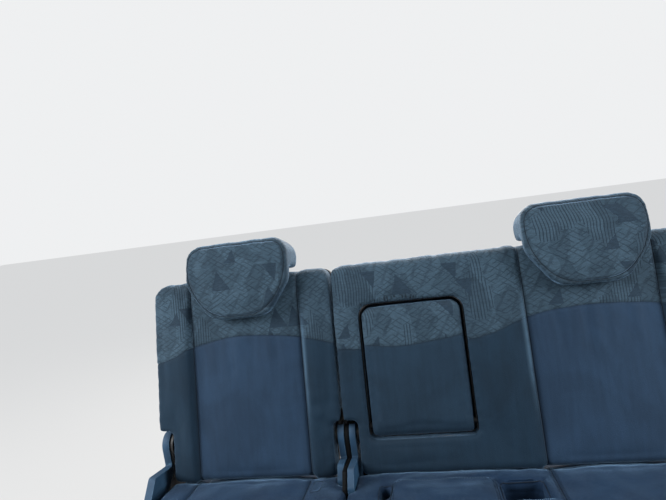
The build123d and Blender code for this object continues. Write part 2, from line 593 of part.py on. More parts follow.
def recliner_outer(half):
    """Recliner plate, gear housing and pin at the outer side."""
    x_a, x_b = outer_x(half, OUTER_PLATE[0]), outer_x(half, OUTER_PLATE[1])
    plate = side_solid(plate_outline(OUTER_EYE_R, OUTER_REACH), x_a, x_b)
    plate += rod_x(OUTER_EYE_R, x_a, x_b, AXIS_Y, AXIS_Z)
    arm_near, arm_far = outer_x(half, OUTER_ARM[0] - FIT), outer_x(half, OUTER_ARM[1] + 1)
    plate += rod_x(RECLINER_R, x_b, arm_near, AXIS_Y, AXIS_Z)
    plate += rod_x(HINGE_PIN_R, x_b, arm_far, AXIS_Y, AXIS_Z)
    return BENCH * plate


def cap_outline(nose, nose_z, foot, shrink=0.0):
    """Side outline of a hinge cover: a low slope ahead of the folded back, and a foot."""
    rise = AXIS_Y - CAP_R
    brow = nose + (folded_face(nose) - nose_z) * CAP_SLOPE
    return [
        (nose + shrink, foot + shrink, MIDDLE_R), (nose + shrink, nose_z - shrink, MIDDLE_R),
        (brow, folded_face(brow) - shrink, MIDDLE_R),
        (rise, folded_face(rise) - shrink, SMALL_R), (rise + shrink, AXIS_Z, 0),
        (AXIS_Y + CAP_R - shrink, AXIS_Z, 0), (AXIS_Y + CAP_R - shrink, COVER_HEEL, LARGE_R),
        (AXIS_Y, foot + shrink, LARGE_R),
    ]


def recliner_cover(half):
    """Moulded cover over the recliner, open on its inner side, with two screw bosses."""
    nose_z, foot = -COVER_NOSE_UP, PAN_TOP - COVER_LOW
    face, rim = outer_x(half, 0), outer_x(half, OUTER_PLATE[0] - FIT)
    floor = outer_x(half, COVER_WALL)
    cover = side_solid(cap_outline(-COVER_NOSE, nose_z, foot), face, rim)
    cover += rod_x(CAP_R, face, rim, AXIS_Y, AXIS_Z)
    hollow = side_solid(cap_outline(-COVER_NOSE, nose_z, foot, COVER_WALL), floor, rim - half.side)
    hollow += rod_x(CAP_R - COVER_WALL, floor, rim - half.side, AXIS_Y, AXIS_Z)
    cover -= hollow
    for y, z in ((AXIS_Y, AXIS_Z), (BOSS_Y, PAN_TOP + 2)):
        cover += rod_x(BOSS_R, outer_x(half, COVER_WALL / 2), rim, y, z)
    mouth = block(floor, rim - half.side, -COVER_NOSE - 5, LEVER_REAR + 4, LEVER_LOW - 2, LEVER_HIGH + 2)
    return BENCH * (cover - mouth)


def hinge_inner(half):
    """Hinge plate and pin at the inner side, inside the tower."""
    x_a, x_b = tower_x(half, INNER_PLATE[0]), tower_x(half, INNER_PLATE[1])
    plate = side_solid(plate_outline(INNER_EYE_R, half.tower_nose - TOWER_RIM), x_a, x_b)
    plate += rod_x(INNER_EYE_R, x_a, x_b, AXIS_Y, AXIS_Z)
    plate += rod_x(HINGE_PIN_R, x_b, tower_x(half, INNER_ARM[1] + 1), AXIS_Y, AXIS_Z)
    return BENCH * plate


def hinge_tower(half):
    """Slim upright cover over the hinge plate, with a front edge that slopes to the cushion."""
    nose = -half.tower_nose
    inner, outer = tower_x(half, -TOWER_W), tower_x(half, 0)
    cover = side_solid(cap_outline(nose, cushion_top(nose) + 5, TOWER_FOOT), inner, outer)
    cover += rod_x(CAP_R, inner, outer, AXIS_Y, AXIS_Z)
    slot_a, slot_b = tower_x(half, INNER_PLATE[0] - FIT), tower_x(half, INNER_PLATE[1] + FIT)
    room = plate_outline(INNER_EYE_R + FIT, half.tower_nose - TOWER_RIM + FIT)
    cover -= side_solid(room, slot_a, slot_b) + rod_x(INNER_EYE_R + FIT, slot_a, slot_b, AXIS_Y, AXIS_Z)
    return BENCH * (cover - rod_x(HINGE_PIN_R + FIT, slot_b, outer + half.side, AXIS_Y, AXIS_Z))


def recline_lever(half):
    """Flat grip lever that comes out of the recliner cover's front."""
    x_a = outer_x(half, OUTER_PLATE[0] - FIT)
    outline = [
        (LEVER_REAR, LEVER_LOW, SMALL_R), (LEVER_REAR - LEVER_T, (LEVER_LOW + LEVER_HIGH) / 2, MIDDLE_R),
        (LEVER_FRONT, LEVER_HIGH, MIDDLE_R), (LEVER_FRONT, LEVER_HIGH - 2 * LEVER_T, MIDDLE_R),
        (LEVER_REAR - 4 * LEVER_T, LEVER_LOW, LARGE_R),
    ]
    return BENCH * side_solid(outline, x_a, x_a + half.side * LEVER_T)


def floor_plate(x_low, x_high, y):
    """Base plate on the floor with two bolt holes for each end."""
    length = FLOOR_PLATE_L
    plan = [
        (x_low, y - length / 2, MIDDLE_R), (x_high, y - length / 2, MIDDLE_R),
        (x_high, y + length / 2, MIDDLE_R), (x_low, y + length / 2, MIDDLE_R),
    ]
    plate = plan_solid(plan, 0, FLOOR_PLATE_T)
    for x in sorted({x_low + FLOOR_PLATE_W / 2, x_high - FLOOR_PLATE_W / 2}):
        for side in (-1, 1):
            plate -= post_z(BOLT_R, x, y + side * BOLT_SPREAD / 2, -1, FLOOR_PLATE_T + 1)
    return plate


def front_bracket(places):
    """Front floor bracket: a pair of ears and a pin for each leg that it carries."""
    y = BITE_Y + PIN_Y
    bracket = floor_plate(places[0] - FLOOR_PLATE_W / 2, places[-1] + FLOOR_PLATE_W / 2, y)
    ear = [
        (y - EAR_FOOT, FLOOR_PLATE_T - 1, 0), (y - EAR_R, PIN_Z, 0),
        (y + EAR_R, PIN_Z, 0), (y + EAR_FOOT, FLOOR_PLATE_T - 1, 0),
    ]
    reach = LEG_T / 2 + EAR_CLEAR + EAR_T
    for x in places:
        for side in (-1, 1):
            near = x + side * (LEG_T / 2 + EAR_CLEAR)
            far = near + side * EAR_T
            bracket += side_solid(ear, near, far) + rod_x(EAR_R, near, far, y, PIN_Z)
        bracket += rod_x(PIN_R, x - reach, x + reach, y, PIN_Z)
        for side in (-1, 1):
            bracket += rod_x(PIN_HEAD_R, x + side * reach, x + side * (reach + PIN_HEAD_T), y, PIN_Z)
    return bracket


def rear_striker(places):
    """Rear floor striker: a round rod on posts, which the claws of the rear legs grip."""
    y = BITE_Y + STRIKER_Y
    striker = floor_plate(places[0] - FLOOR_PLATE_W / 2, places[-1] + FLOOR_PLATE_W / 2, y)
    posts = [places[0] - POST_OUT, places[-1] + POST_OUT] + [sum(places) / 2] * (len(places) - 1)
    for x in posts:
        striker += post_z(PIN_R, x, y, FLOOR_PLATE_T - 1, STRIKER_Z)
        striker += Pos(x, y, STRIKER_Z) * Sphere(PIN_R)
    return striker + rod_x(PIN_R, posts[0], posts[1], y, STRIKER_Z)


# Pieces of one half, by node name after the half's own name
HALF_PIECES = {
    "cushion": cushion,
    "cushion_pan": cushion_pan,
    "front_legs": front_legs,
    "rear_legs": rear_legs,
    "recliner": recliner_outer,
    "recliner_cover": recliner_cover,
    "hinge": hinge_inner,
    "hinge_tower": hinge_tower,
    "recline_lever": recline_lever,
    "back_cushion": back_cushion,
    "back_frame": back_frame,
    "back_panel": back_panel,
    "headrest_guides": headrest_guides,
    "headrest_pad": headrest_pad,
    "headrest_posts": headrest_posts,
}


def build():
    """Every node of the bench by name."""
    nodes = {f"{half.name}_{name}": make(half) for half in HALVES for name, make in HALF_PIECES.items()}
    nodes["armrest_pad"] = armrest_pad()
    nodes["armrest_hinge"] = armrest_hinge()
    nodes["armrest_well"] = armrest_well()
    (narrow_outer, narrow_inner), (wide_outer, wide_inner) = (leg_places(half) for half in HALVES)
    anchors = {"narrow": [narrow_outer], "centre": [narrow_inner, wide_inner], "wide": [wide_outer]}
    for name, places in anchors.items():
        nodes[f"{name}_front_bracket"] = front_bracket(places)
        nodes[f"{name}_rear_striker"] = rear_striker(places)
    return nodes


os.makedirs("parts", exist_ok=True)
for node, shape in build().items():
    export_step(shape, f"parts/{node}.step")
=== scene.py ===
"""A second-row split bench seat: cloth, foam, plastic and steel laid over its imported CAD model.

Everything is in metres, in the CAD frame: X across the bench, the seat faces -Y, Z is up.
"""
import json
import logging
import math
from dataclasses import dataclass, field
from enum import Enum
from functools import reduce
from typing import Callable, Sequence

import bmesh
import bpy
import numpy as np
from mathutils import Matrix, Vector
from mathutils.bvhtree import BVHTree


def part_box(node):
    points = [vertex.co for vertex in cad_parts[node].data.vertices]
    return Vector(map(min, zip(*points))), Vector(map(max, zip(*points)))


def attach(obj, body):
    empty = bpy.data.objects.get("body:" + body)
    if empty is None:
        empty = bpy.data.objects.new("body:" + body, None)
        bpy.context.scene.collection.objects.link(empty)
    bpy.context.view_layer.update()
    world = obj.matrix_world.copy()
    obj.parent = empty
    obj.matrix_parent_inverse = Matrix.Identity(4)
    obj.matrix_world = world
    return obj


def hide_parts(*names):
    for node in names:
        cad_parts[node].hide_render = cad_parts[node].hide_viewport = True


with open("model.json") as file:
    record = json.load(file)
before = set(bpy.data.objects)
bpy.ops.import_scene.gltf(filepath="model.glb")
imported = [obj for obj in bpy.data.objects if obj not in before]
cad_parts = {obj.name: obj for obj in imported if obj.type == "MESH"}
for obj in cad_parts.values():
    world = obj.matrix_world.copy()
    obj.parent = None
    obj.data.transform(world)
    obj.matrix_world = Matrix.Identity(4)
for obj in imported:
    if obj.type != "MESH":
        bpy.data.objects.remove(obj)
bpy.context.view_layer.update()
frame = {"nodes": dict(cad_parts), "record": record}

LOG = logging.getLogger("bench")
Colour = tuple[float, float, float]
Point2 = tuple[float, float]
Point3 = tuple[float, float, float]
Socket, Node, Mesh, Piece = bpy.types.NodeSocket, bpy.types.Node, bpy.types.Mesh, bpy.types.Object

LEAN = math.radians(15.0)  # lean of the backs behind vertical
BITE_Y, BITE_Z = 0.137, 0.340  # line where back and cushion meet
PIVOT_Y, PIVOT_Z = 0.2024663, 0.4104568  # recliner axis
FOLDED = math.radians(78.0)  # the backs' way forward from upright when folded
PIVOT_UP, FACE_AHEAD = 0.085, 0.045  # that axis above the bite and behind the back's face
SEAT_RISE = math.tan(math.radians(5.5))  # rise of the cushions towards the nose
INNER_SEAM, OUTER_SEAM = 0.274, 0.565  # straight seams, from the bench centre
RECESS_X, RECESS_W, RECESS_Y, RECESS_L = 0.2025, 0.083, -0.089, 0.064  # buckle recess
WIDE_SLOT, WIDE_SLOT_SIZE = (-0.090, -0.086), (0.020, 0.054)  # buckle slots: middle, width and length
NARROW_SLOT, NARROW_SLOT_SIZE = (-0.251, -0.052), (0.014, 0.046)
PLEATS_LOW = 0.400  # upper edge of the armrest's opening
SWELL_FRAMES, PRESSURE = 20, 4.0  # how long and how hard air blows the pads up
PLATEAU = ((-0.076, -0.425), (0.150, -0.425), (0.150, -0.045), (-0.076, -0.045))


class Face(Enum):
    """The face that a soft pad shows to the sitter."""

    BACK = "back"
    SEAT = "seat"

    def chart(self, points: np.ndarray) -> np.ndarray:
        """Turns world points into across, along and outward distances from the bite line.

        Args:
            points: An array of n points by x, y, z.

        Returns:
            An array of the same shape. Outward is 0 on the CAD face and positive ahead of it.
        """
        x, y, z = points.T
        if self is Face.SEAT:
            along = y - BITE_Y
            return np.stack([x, along, z - BITE_Z + along * SEAT_RISE], axis=1)
        dy, dz = y - PIVOT_Y, z - PIVOT_Z
        depth = dy * math.cos(LEAN) - dz * math.sin(LEAN)
        up = dy * math.sin(LEAN) + dz * math.cos(LEAN)
        return np.stack([x, up + PIVOT_UP, -depth - FACE_AHEAD], axis=1)

    def place(self, across: float, along: float, outward: float) -> Vector:
        """Turns chart distances into a world point.

        Args:
            across: From the bench centre.
            along: From the bite line, up the back or towards the rear of the seat.
            outward: Ahead of the CAD face.

        Returns:
            The point.
        """
        if self is Face.SEAT:
            return Vector((across, along + BITE_Y, outward + BITE_Z - along * SEAT_RISE))
        depth, up = -outward - FACE_AHEAD, along - PIVOT_UP
        return Vector((
            across,
            PIVOT_Y + depth * math.cos(LEAN) + up * math.sin(LEAN),
            PIVOT_Z - depth * math.sin(LEAN) + up * math.cos(LEAN),
        ))

    def outward(self) -> Vector:
        """Unit vector out of the face."""
        return (self.place(0, 0, 1) - self.place(0, 0, 0)).normalized()

    def openness(self, out: np.ndarray) -> np.ndarray:
        """How far normals look out of the face or over its crest or nose.

        Args:
            out: An array of normals.

        Returns:
            A share of 0 to 1 for each.
        """
        beyond = (self.place(0, 1, 0) - self.place(0, 0, 0)) * (1 if self is Face.BACK else -1)
        ahead = np.maximum(out @ np.array(self.outward()), out @ np.array(beyond.normalized()))
        return smooth_step(ahead, 0.1, 0.5)


def rounded_loop(corners: Sequence[Point2], radius: float, steps: int = 6) -> list[Point2]:
    """Rounds the corners of a closed outline.

    Args:
        corners: The corners in order.
        radius: The rounding, held to half of the shorter side.
        steps: Points on each rounded corner, less one.

    Returns:
        The points of the rounded outline, in order.
    """
    loop = []
    for i, corner in enumerate(corners):
        here = Vector(corner)
        before, after = Vector(corners[i - 1]) - here, Vector(corners[(i + 1) % len(corners)]) - here
        reach = min(radius, before.length * 0.48, after.length * 0.48)
        a, b = here + before.normalized() * reach, here + after.normalized() * reach
        for k in range(steps + 1):
            t = k / steps
            loop.append(tuple(a.lerp(here, t).lerp(here.lerp(b, t), t)))
    return loop


def path_distance(points: np.ndarray, path: Sequence[Point2], closed: bool) -> np.ndarray:
    """Distance from points in a plane to a path.

    Args:
        points: An array of n points by x, y.
        path: The path's corners.
        closed: Whether its end meets its start.

    Returns:
        The distances, negative inside a closed path.
    """
    corners = np.array(path)
    ends = np.roll(corners, -1, axis=0) if closed else corners[1:]
    starts = corners if closed else corners[:-1]
    best = np.full(len(points), 1e9)
    inside = np.zeros(len(points), dtype=bool)
    for (ax, ay), (bx, by) in zip(starts, ends):
        dx, dy = bx - ax, by - ay
        share = ((points[:, 0] - ax) * dx + (points[:, 1] - ay) * dy) / max(dx * dx + dy * dy, 1e-12)
        share = np.clip(share, 0, 1)
        near = np.hypot(points[:, 0] - ax - share * dx, points[:, 1] - ay - share * dy)
        best = np.minimum(best, near)
        if closed and ay != by:
            crosses = (ay > points[:, 1]) != (by > points[:, 1])
            inside ^= crosses & (points[:, 0] < ax + (points[:, 1] - ay) / (by - ay) * dx)
    return np.where(inside, -best, best) if closed else best


def smooth_step(values: np.ndarray, low: float, high: float) -> np.ndarray:
    """Smooth rise from 0 at low to 1 at high."""
    share = np.clip((values - low) / (high - low), 0, 1)
    return share * share * (3 - 2 * share)


def hill(values: np.ndarray, middle: float, width: float) -> np.ndarray:
    """A smooth hill, 1 at its middle and 0.37 at its width from there."""
    return np.exp(-((values - middle) / width) ** 2)


@dataclass(frozen=True)
class Ripple:
    """A soft, seeded unevenness over a plane, made of waves."""

    seed: int
    across: float  # shortest wave across, in metres
    along: float  # shortest wave along
    count: int = 14

    def at(self, across: np.ndarray, along: np.ndarray) -> np.ndarray:
        """Height of the unevenness.

        Args:
            across: Places across the plane.
            along: Places along it.

        Returns:
            A height of about -1 to 1 for each.
        """
        rng = np.random.default_rng(self.seed)
        total = np.zeros(len(across))
        for _ in range(self.count):
            size = rng.uniform(1.0, 3.5)
            turn, phase = rng.uniform(0, 2 * math.pi, 2)
            wave = across / (self.across * size) * math.cos(turn)
            wave += along / (self.along * size) * math.sin(turn)
            total += np.sin(2 * math.pi * wave + phase)
        return total / math.sqrt(self.count)


@dataclass(frozen=True)
class Seam:
    """A sewn line in a pad's face: where it runs, how deep it pulls in and how wide that is."""

    path: tuple[Point2, ...]
    depth: float = 0.0035
    width: float = 0.009
    closed: bool = False
    pinned: bool = True
    pucker: float = 0.0  # small gathers along the line

    def distance(self, chart: np.ndarray) -> np.ndarray:
        """Unsigned distance of chart points from the line, seen square to the face."""
        return np.abs(path_distance(chart[:, :2], self.path, self.closed))


class Graph:
    """Adds shader nodes to one tree and links them."""

    def __init__(self, tree: bpy.types.NodeTree) -> None:
        """Works on the given tree."""
        self.tree = tree

    def put(self, socket: Socket, value: object) -> None:
        """Links a socket to a value, or sets it.

        Args:
            socket: The input.
            value: Another node's output, or a colour, vector or number.
        """
        if isinstance(value, Socket):
            self.tree.links.new(value, socket)
        elif socket.type == "RGBA":
            socket.default_value = (*value, 1.0)
        else:
            socket.default_value = value

    def feed(self, node: Node, inputs: dict[str | int, object]) -> None:
        """Links or sets inputs of a node by their names or numbers."""
        for name, value in inputs.items():
            self.put(node.inputs[name], value)

    def add(self, kind: str, inputs: dict[str | int, object] | None = None, **settings: object) -> Node:
        """Adds a node.

        Args:
            kind: Its type, without the leading ShaderNode.
            inputs: Values or sockets by input name or number.
            settings: Its own properties.

        Returns:
            The new node.
        """
        node = self.tree.nodes.new("ShaderNode" + kind)
        for name, value in settings.items():
            setattr(node, name, value)
        self.feed(node, inputs or {})
        return node

    def math(self, operation: str, *values: object) -> Socket:
        """One arithmetic step."""
        return self.add("Math", dict(enumerate(values)), operation=operation).outputs[0]

    def fold(self, operation: str, *values: object) -> Socket:
        """The same arithmetic step through all the values."""
        return reduce(lambda done, value: self.math(operation, done, value), values)

    def apart(self, first: object, second: object) -> Socket:
        """How far two values are apart."""
        return self.math("ABSOLUTE", self.math("SUBTRACT", first, second))

    def vector(self, operation: str, *values: object) -> Socket:
        """One vector step."""
        node = self.add("VectorMath", dict(enumerate(values)), operation=operation)
        return node.outputs["Value" if operation == "DOT_PRODUCT" else "Vector"]

    def ramp(
        self, value: object, low: float, high: float, to_low: float = 0.0, to_high: float = 1.0,
    ) -> Socket:
        """A smooth change from to_low at low to to_high at high."""
        inputs = {"Value": value, "From Min": low, "From Max": high, "To Min": to_low, "To Max": to_high}
        return self.add("MapRange", inputs, interpolation_type="SMOOTHSTEP").outputs["Result"]

    def mix(self, share: object, first: object, second: object, blend: str = "MIX") -> Socket:
        """A mix of two colours."""
        inputs = {"Factor": share, 6: first, 7: second}
        return self.add("Mix", inputs, data_type="RGBA", blend_type=blend).outputs[2]

    def shaded(self, colour: object, shade: Socket) -> Socket:
        """A colour times a grey shade."""
        grey = self.add("CombineColor", {"Red": shade, "Green": shade, "Blue": shade}).outputs[0]
        return self.mix(1.0, colour, grey, "MULTIPLY")

    def noise(self, place: object, scale: float, detail: float = 2.0, distortion: float = 0.0) -> Socket:
        """Soft noise of about 0 to 1."""
        inputs = {"Vector": place, "Scale": scale, "Detail": detail, "Distortion": distortion}
        return self.add("TexNoise", inputs).outputs["Fac"]

    def streaks(self, place: object, scales: Point3, detail: float, distortion: float = 0.0) -> Socket:
        """Soft noise with its own scale along each axis."""
        return self.noise(self.vector("MULTIPLY", place, scales), 1.0, detail, distortion)

    def effect(self, effect: "Effect", **inputs: object) -> Node:
        """Places a shared node group, with its inputs by their names in small letters."""
        given = {name.capitalize(): value for name, value in inputs.items()}
        return self.add("Group", given, node_tree=effect.tree())


@dataclass(frozen=True)
class Effect:
    """A shader node group that more than one material uses, with its sockets' types by name."""

    name: str
    inputs: dict[str, str]
    outputs: dict[str, str]
    wire: Callable[[Graph, Node, Node], None]

    def tree(self) -> bpy.types.NodeTree:
        """Finds the group, or builds it at its first use.

        Returns:
            The group's node tree.
        """
        found = bpy.data.node_groups.get(self.name)
        if found:
            return found
        tree = bpy.data.node_groups.new(self.name, "ShaderNodeTree")
        for way, sockets in (("INPUT", self.inputs), ("OUTPUT", self.outputs)):
            for name, kind in sockets.items():
                tree.interface.new_socket(name, in_out=way, socket_type="NodeSocket" + kind)
        self.wire(Graph(tree), tree.nodes.new("NodeGroupInput"), tree.nodes.new("NodeGroupOutput"))
        return tree


def wire_nap(g: Graph, given: Node, out: Node) -> None:
    """Cut pile: fine speckle, brushed marks and faint ribs.

    Args:
        g: The group's graph.
        given: Its input node.
        out: Its output node.
    """
    place = given.outputs["Place"]
    speckle = g.noise(place, 900.0, 1.0)
    brushed = g.ramp(g.noise(place, 8.0, 4.0, 0.8), 0.35, 0.65, -0.6, 0.6)
    strokes = g.ramp(g.streaks(place, (70.0, 70.0, 11.0), 3.0, 0.5), 0.3, 0.7, -0.4, 0.4)
    uneven = g.math("ADD", brushed, strokes)
    shade = g.math("MULTIPLY_ADD", uneven, g.math("MULTIPLY", given.outputs["Marks"], 0.16), 1.0)
    g.feed(out, {
        "Shade": g.math("MULTIPLY", shade, g.ramp(speckle, 0.2, 0.8, 0.88, 1.12)),
        "Height": g.math("MULTIPLY_ADD", uneven, 0.25, speckle),
    })


@dataclass(frozen=True)
class Diagonals:
    """A set of slanted woven lines, broken into pieces."""

    angle: float  # degrees from across the cloth
    pitch: float  # from line to line, in metres
    seed: float
    weight: float = 1.0

    def wire(self, g: Graph, place: Socket, spot: Socket) -> Socket:
        """Masks the lines.

        Args:
            g: The graph.
            place: Place on the cloth.
            spot: The same, wandering a little.

        Returns:
            The weight on a line, 0 beside it.
        """
        turn = math.radians(self.angle)
        slope = (-math.sin(turn) / self.pitch, math.cos(turn) / self.pitch, 0.0)
        run = g.vector("DOT_PRODUCT", spot, slope)
        line = g.ramp(g.apart(g.math("FRACT", run), 0.5), 0.06, 0.15, self.weight, 0.0)
        rows = g.math("MULTIPLY", g.math("FLOOR", run), 7.31)
        aside = g.add("CombineXYZ", {"X": self.seed, "Y": rows}).outputs[0]
        breaks = g.noise(g.vector("ADD", place, aside), 30.0, 1.0)
        return g.math("MULTIPLY", line, g.ramp(breaks, 0.40, 0.54))


@dataclass(frozen=True)
class Kites:
    """Half-lozenges with pointed ends, in a share of the cells of a slanted grid."""

    width: float
    height: float
    share: float
    lean: float

    def wire(self, g: Graph, spot: Socket) -> Socket:
        """Masks the kites.

        Args:
            g: The graph.
            spot: Place on the cloth.

        Returns:
            1 on a kite, 0 beside it.
        """
        slant = self.lean / self.width
        u = g.vector("DOT_PRODUCT", spot, (1 / self.width, 1 / self.height + slant, 0.0))
        v = g.vector("DOT_PRODUCT", spot, (1 / self.width, -1 / self.height + slant, 0.0))
        cell = g.add("CombineXYZ", {"X": g.math("FLOOR", u), "Y": g.math("FLOOR", v)}).outputs[0]
        chance = g.add("TexWhiteNoise", {"Vector": cell}, noise_dimensions="2D").outputs["Value"]
        half = g.math("GREATER_THAN", g.math("SUBTRACT", g.math("FRACT", u), g.math("FRACT", v)), 0.0)
        return g.math("MULTIPLY", half, g.math("GREATER_THAN", chance, 1 - self.share))


DIAGONALS = (Diagonals(31.0, 0.0098, 3.0), Diagonals(-35.0, 0.0108, 11.0), Diagonals(58.0, 0.030, 23.0, 0.7))
KITES = (
    Kites(0.050, 0.105, 0.10, 0.16), Kites(0.034, 0.072, 0.05, -0.34), Kites(0.040, -0.088, 0.05, 0.25),
)
STRIPE_PITCH = 0.0068
WEAVE_GROUND: Colour = (0.030, 0.058, 0.087)
WEAVE_PALE: Colour = (0.044, 0.082, 0.120)
WEAVE_LINE: Colour = (0.012, 0.025, 0.041)
WEAVE_KITE: Colour = (0.019, 0.039, 0.063)


def wire_cells(g: Graph, place: Socket, scale: Point3) -> Node:
    """Three random numbers for each kite-shaped cell of a plane.

    Args:
        g: The group's graph.
        place: Place on the cloth.
        scale: Cells per metre along each axis.

    Returns:
        The node that gives them as red, green and blue.
    """
    inputs = {"Vector": g.vector("MULTIPLY", place, scale), "Scale": 1.0}
    cells = g.add("TexVoronoi", inputs, voronoi_dimensions="2D", distance="MANHATTAN")
    return g.add("SeparateColor", {"Color": cells.outputs["Color"]})


def wire_jacquard(g: Graph, given: Node, out: Node) -> None:
    """Woven pattern: fine broken diagonals, dark kites, paler patches and groups of upright stripes.

    Args:
        g: The group's graph.
        given: Its input node.
        out: Its output node.
    """
    place = given.outputs["Place"]
    clouds = g.add("TexNoise", {"Vector": place, "Scale": 26.0}).outputs["Color"]
    spot = g.vector("ADD", place, g.vector("MULTIPLY", clouds, (0.010, 0.006, 0.0)))
    lines = g.fold("MAXIMUM", *(row.wire(g, place, spot) for row in DIAGONALS))
    kites = g.fold("MAXIMUM", *(row.wire(g, spot) for row in KITES))
    pale = g.ramp(wire_cells(g, place, (25.0, 15.0, 1.0)).outputs["Green"], 0.1, 0.9)
    striped = g.ramp(wire_cells(g, place, (20.0, 8.0, 1.0)).outputs["Blue"], 0.89, 0.90)
    column = g.math("FRACT", g.vector("DOT_PRODUCT", place, (1.0 / STRIPE_PITCH, 0.0, 0.0)))
    stripes = g.math("MULTIPLY", g.ramp(g.apart(column, 0.5), 0.10, 0.22, 1.0, 0.0), striped)
    threads = g.streaks(place, (500.0, 800.0, 600.0), 1.0)
    slubs = g.streaks(place, (60.0, 300.0, 1.0), 3.0, 0.6)
    plain = g.math("MULTIPLY", g.math("SUBTRACT", 1.0, striped), lines)
    marked = g.math("MAXIMUM", g.math("MULTIPLY", plain, 0.60), g.math("MULTIPLY", stripes, 0.8))
    ground = g.mix(marked, g.mix(pale, WEAVE_GROUND, WEAVE_PALE), WEAVE_LINE)
    ground = g.mix(kites, ground, g.mix(g.math("MULTIPLY", lines, 0.3), WEAVE_KITE, WEAVE_LINE))
    shade = g.math("MULTIPLY", g.ramp(threads, 0.2, 0.8, 0.78, 1.22), g.ramp(slubs, 0.25, 0.75, 0.84, 1.16))
    sunk = g.math("MAXIMUM", marked, kites)
    g.feed(out, {
        "Colour": g.shaded(ground, shade),
        "Height": g.math("SUBTRACT", g.math("MULTIPLY", threads, 0.5), sunk),
    })


def wire_wear(g: Graph, given: Node, out: Node) -> None:
    """Rubbed edges: where the rounded normal leaves the flat one, broken up by noise.

    Args:
        g: The group's graph.
        given: Its input node.
        out: Its output node.
    """
    bevel = g.add("Bevel", {"Radius": 0.0022}, samples=6).outputs["Normal"]
    turn = g.vector("DOT_PRODUCT", bevel, g.add("NewGeometry").outputs["Normal"])
    edge = g.ramp(turn, 0.80, 0.985, 1.0, 0.0)
    broken = g.ramp(g.noise(given.outputs["Place"], 90.0, 4.0), 0.38, 0.62)
    g.feed(out, {"Mask": g.fold("MULTIPLY", edge, broken, given.outputs["Amount"])})


def wire_dust(g: Graph, given: Node, out: Node) -> None:
    """Dust that has settled on faces that look up when the bench stands open.

    Args:
        g: The group's graph.
        given: Its input node.
        out: Its output node.
    """
    up = g.ramp(g.vector("DOT_PRODUCT", given.outputs["Facing"], (0.0, 0.0, 1.0)), 0.3, 0.95)
    patches = g.ramp(g.noise(given.outputs["Place"], 14.0, 5.0), 0.35, 0.75)
    patches = g.math("MULTIPLY_ADD", patches, 0.8, 0.2)
    g.feed(out, {"Mask": g.fold("MULTIPLY", up, patches, given.outputs["Amount"])})


def wire_grain(g: Graph, given: Node, out: Node) -> None:
    """Fine leather-like cells of moulded plastic.

    Args:
        g: The group's graph.
        given: Its input node.
        out: Its output node.
    """
    place = given.outputs["Place"]
    cells = g.add("TexVoronoi", {"Vector": place, "Scale": 900.0}, feature="SMOOTH_F1").outputs["Distance"]
    cloudy = g.noise(place, 40.0, 4.0)
    g.feed(out, {"Height": g.ramp(cells, 0.1, 0.6), "Shade": g.ramp(cloudy, 0.3, 0.7, 0.9, 1.1)})


def wire_felt(g: Graph, given: Node, out: Node) -> None:
    """Matted fibres with light flecks.

    Args:
        g: The group's graph.
        given: Its input node.
        out: Its output node.
    """
    place = given.outputs["Place"]
    fibres = g.noise(g.vector("MULTIPLY", place, (1.0, 1.0, 0.35)), 1300.0, 3.0, 1.5)
    tufts = g.noise(place, 240.0, 3.0, 0.7)
    g.feed(out, {
        "Fleck": g.ramp(fibres, 0.60, 0.72),
        "Shade": g.ramp(tufts, 0.25, 0.75, 0.72, 1.28),
        "Height": g.math("MULTIPLY_ADD", tufts, 1.4, fibres),
    })


PLACE = {"Place": "Vector"}
NAP = Effect("cut pile", PLACE | {"Marks": "Float"}, {"Shade": "Float", "Height": "Float"}, wire_nap)
JACQUARD = Effect("jacquard weave", PLACE, {"Colour": "Color", "Height": "Float"}, wire_jacquard)
WEAR = Effect("edge wear", PLACE | {"Amount": "Float"}, {"Mask": "Float"}, wire_wear)
DUST = Effect("settled dust", PLACE | {"Facing": "Vector", "Amount": "Float"}, {"Mask": "Float"}, wire_dust)
GRAIN = Effect("moulded grain", PLACE, {"Height": "Float", "Shade": "Float"}, wire_grain)
FELT = Effect("matted felt", PLACE, {"Fleck": "Float", "Shade": "Float", "Height": "Float"}, wire_felt)

DUST_GREY: Colour = (0.22, 0.21, 0.19)
# colour of the seam lines and of the painted shade beside them
SEAM_DARK: Colour = (0.006, 0.009, 0.014)
# colour of the painted shade in the pleats
PLEAT_SHADE: Colour = (0.006, 0.010, 0.016)
# pale blue of the painted highlight beside the inboard seams
SHOULDER_HIGHLIGHT: Colour = (0.064, 0.124, 0.190)
SHEEN_BLUE: Colour = (0.30, 0.52, 0.80)


@dataclass(frozen=True)
class Finish:
    """A material: its name, main colour, roughness and how much dust lies on it."""

    name: str
    colour: Colour
    roughness: float = 0.8
    dust: float = 0.1

    def material(self) -> bpy.types.Material:
        """Finds the material, or builds it at its first use.

        Returns:
            The material.
        """
        found = bpy.data.materials.get(self.name)
        if found:
            return found
        made = bpy.data.materials.new(self.name)
        made.use_nodes = True
        made.diffuse_color = (*self.colour, 1.0)
        made.node_tree.nodes.clear()
        graph = Graph(made.node_tree)
        shader = graph.add("BsdfPrincipled", {"Roughness": self.roughness, "Base Color": self.colour})
        graph.add("OutputMaterial", {"Surface": shader.outputs[0]})
        self.wire(graph, shader, graph.add("TexCoord"))
        return made

    def wire(self, g: Graph, shader: Node, where: Node) -> None:
        """Adds what this finish shows over its plain shader."""

    def dusted(self, g: Graph, where: Node, colour: object) -> Socket:
        """A colour under settled dust."""
        dust = g.effect(DUST, place=where.outputs["Object"], facing=where.outputs["Normal"], amount=self.dust)
        return g.mix(dust.outputs["Mask"], colour, DUST_GREY)

    def bump(self, g: Graph, shader: Node, height: object, distance: float) -> None:
        """Turns a height into the shader's normal, distance in metres."""
        bump = g.add("Bump", {"Height": height, "Distance": distance, "Strength": 1.0})
        g.put(shader.inputs["Normal"], bump.outputs["Normal"])


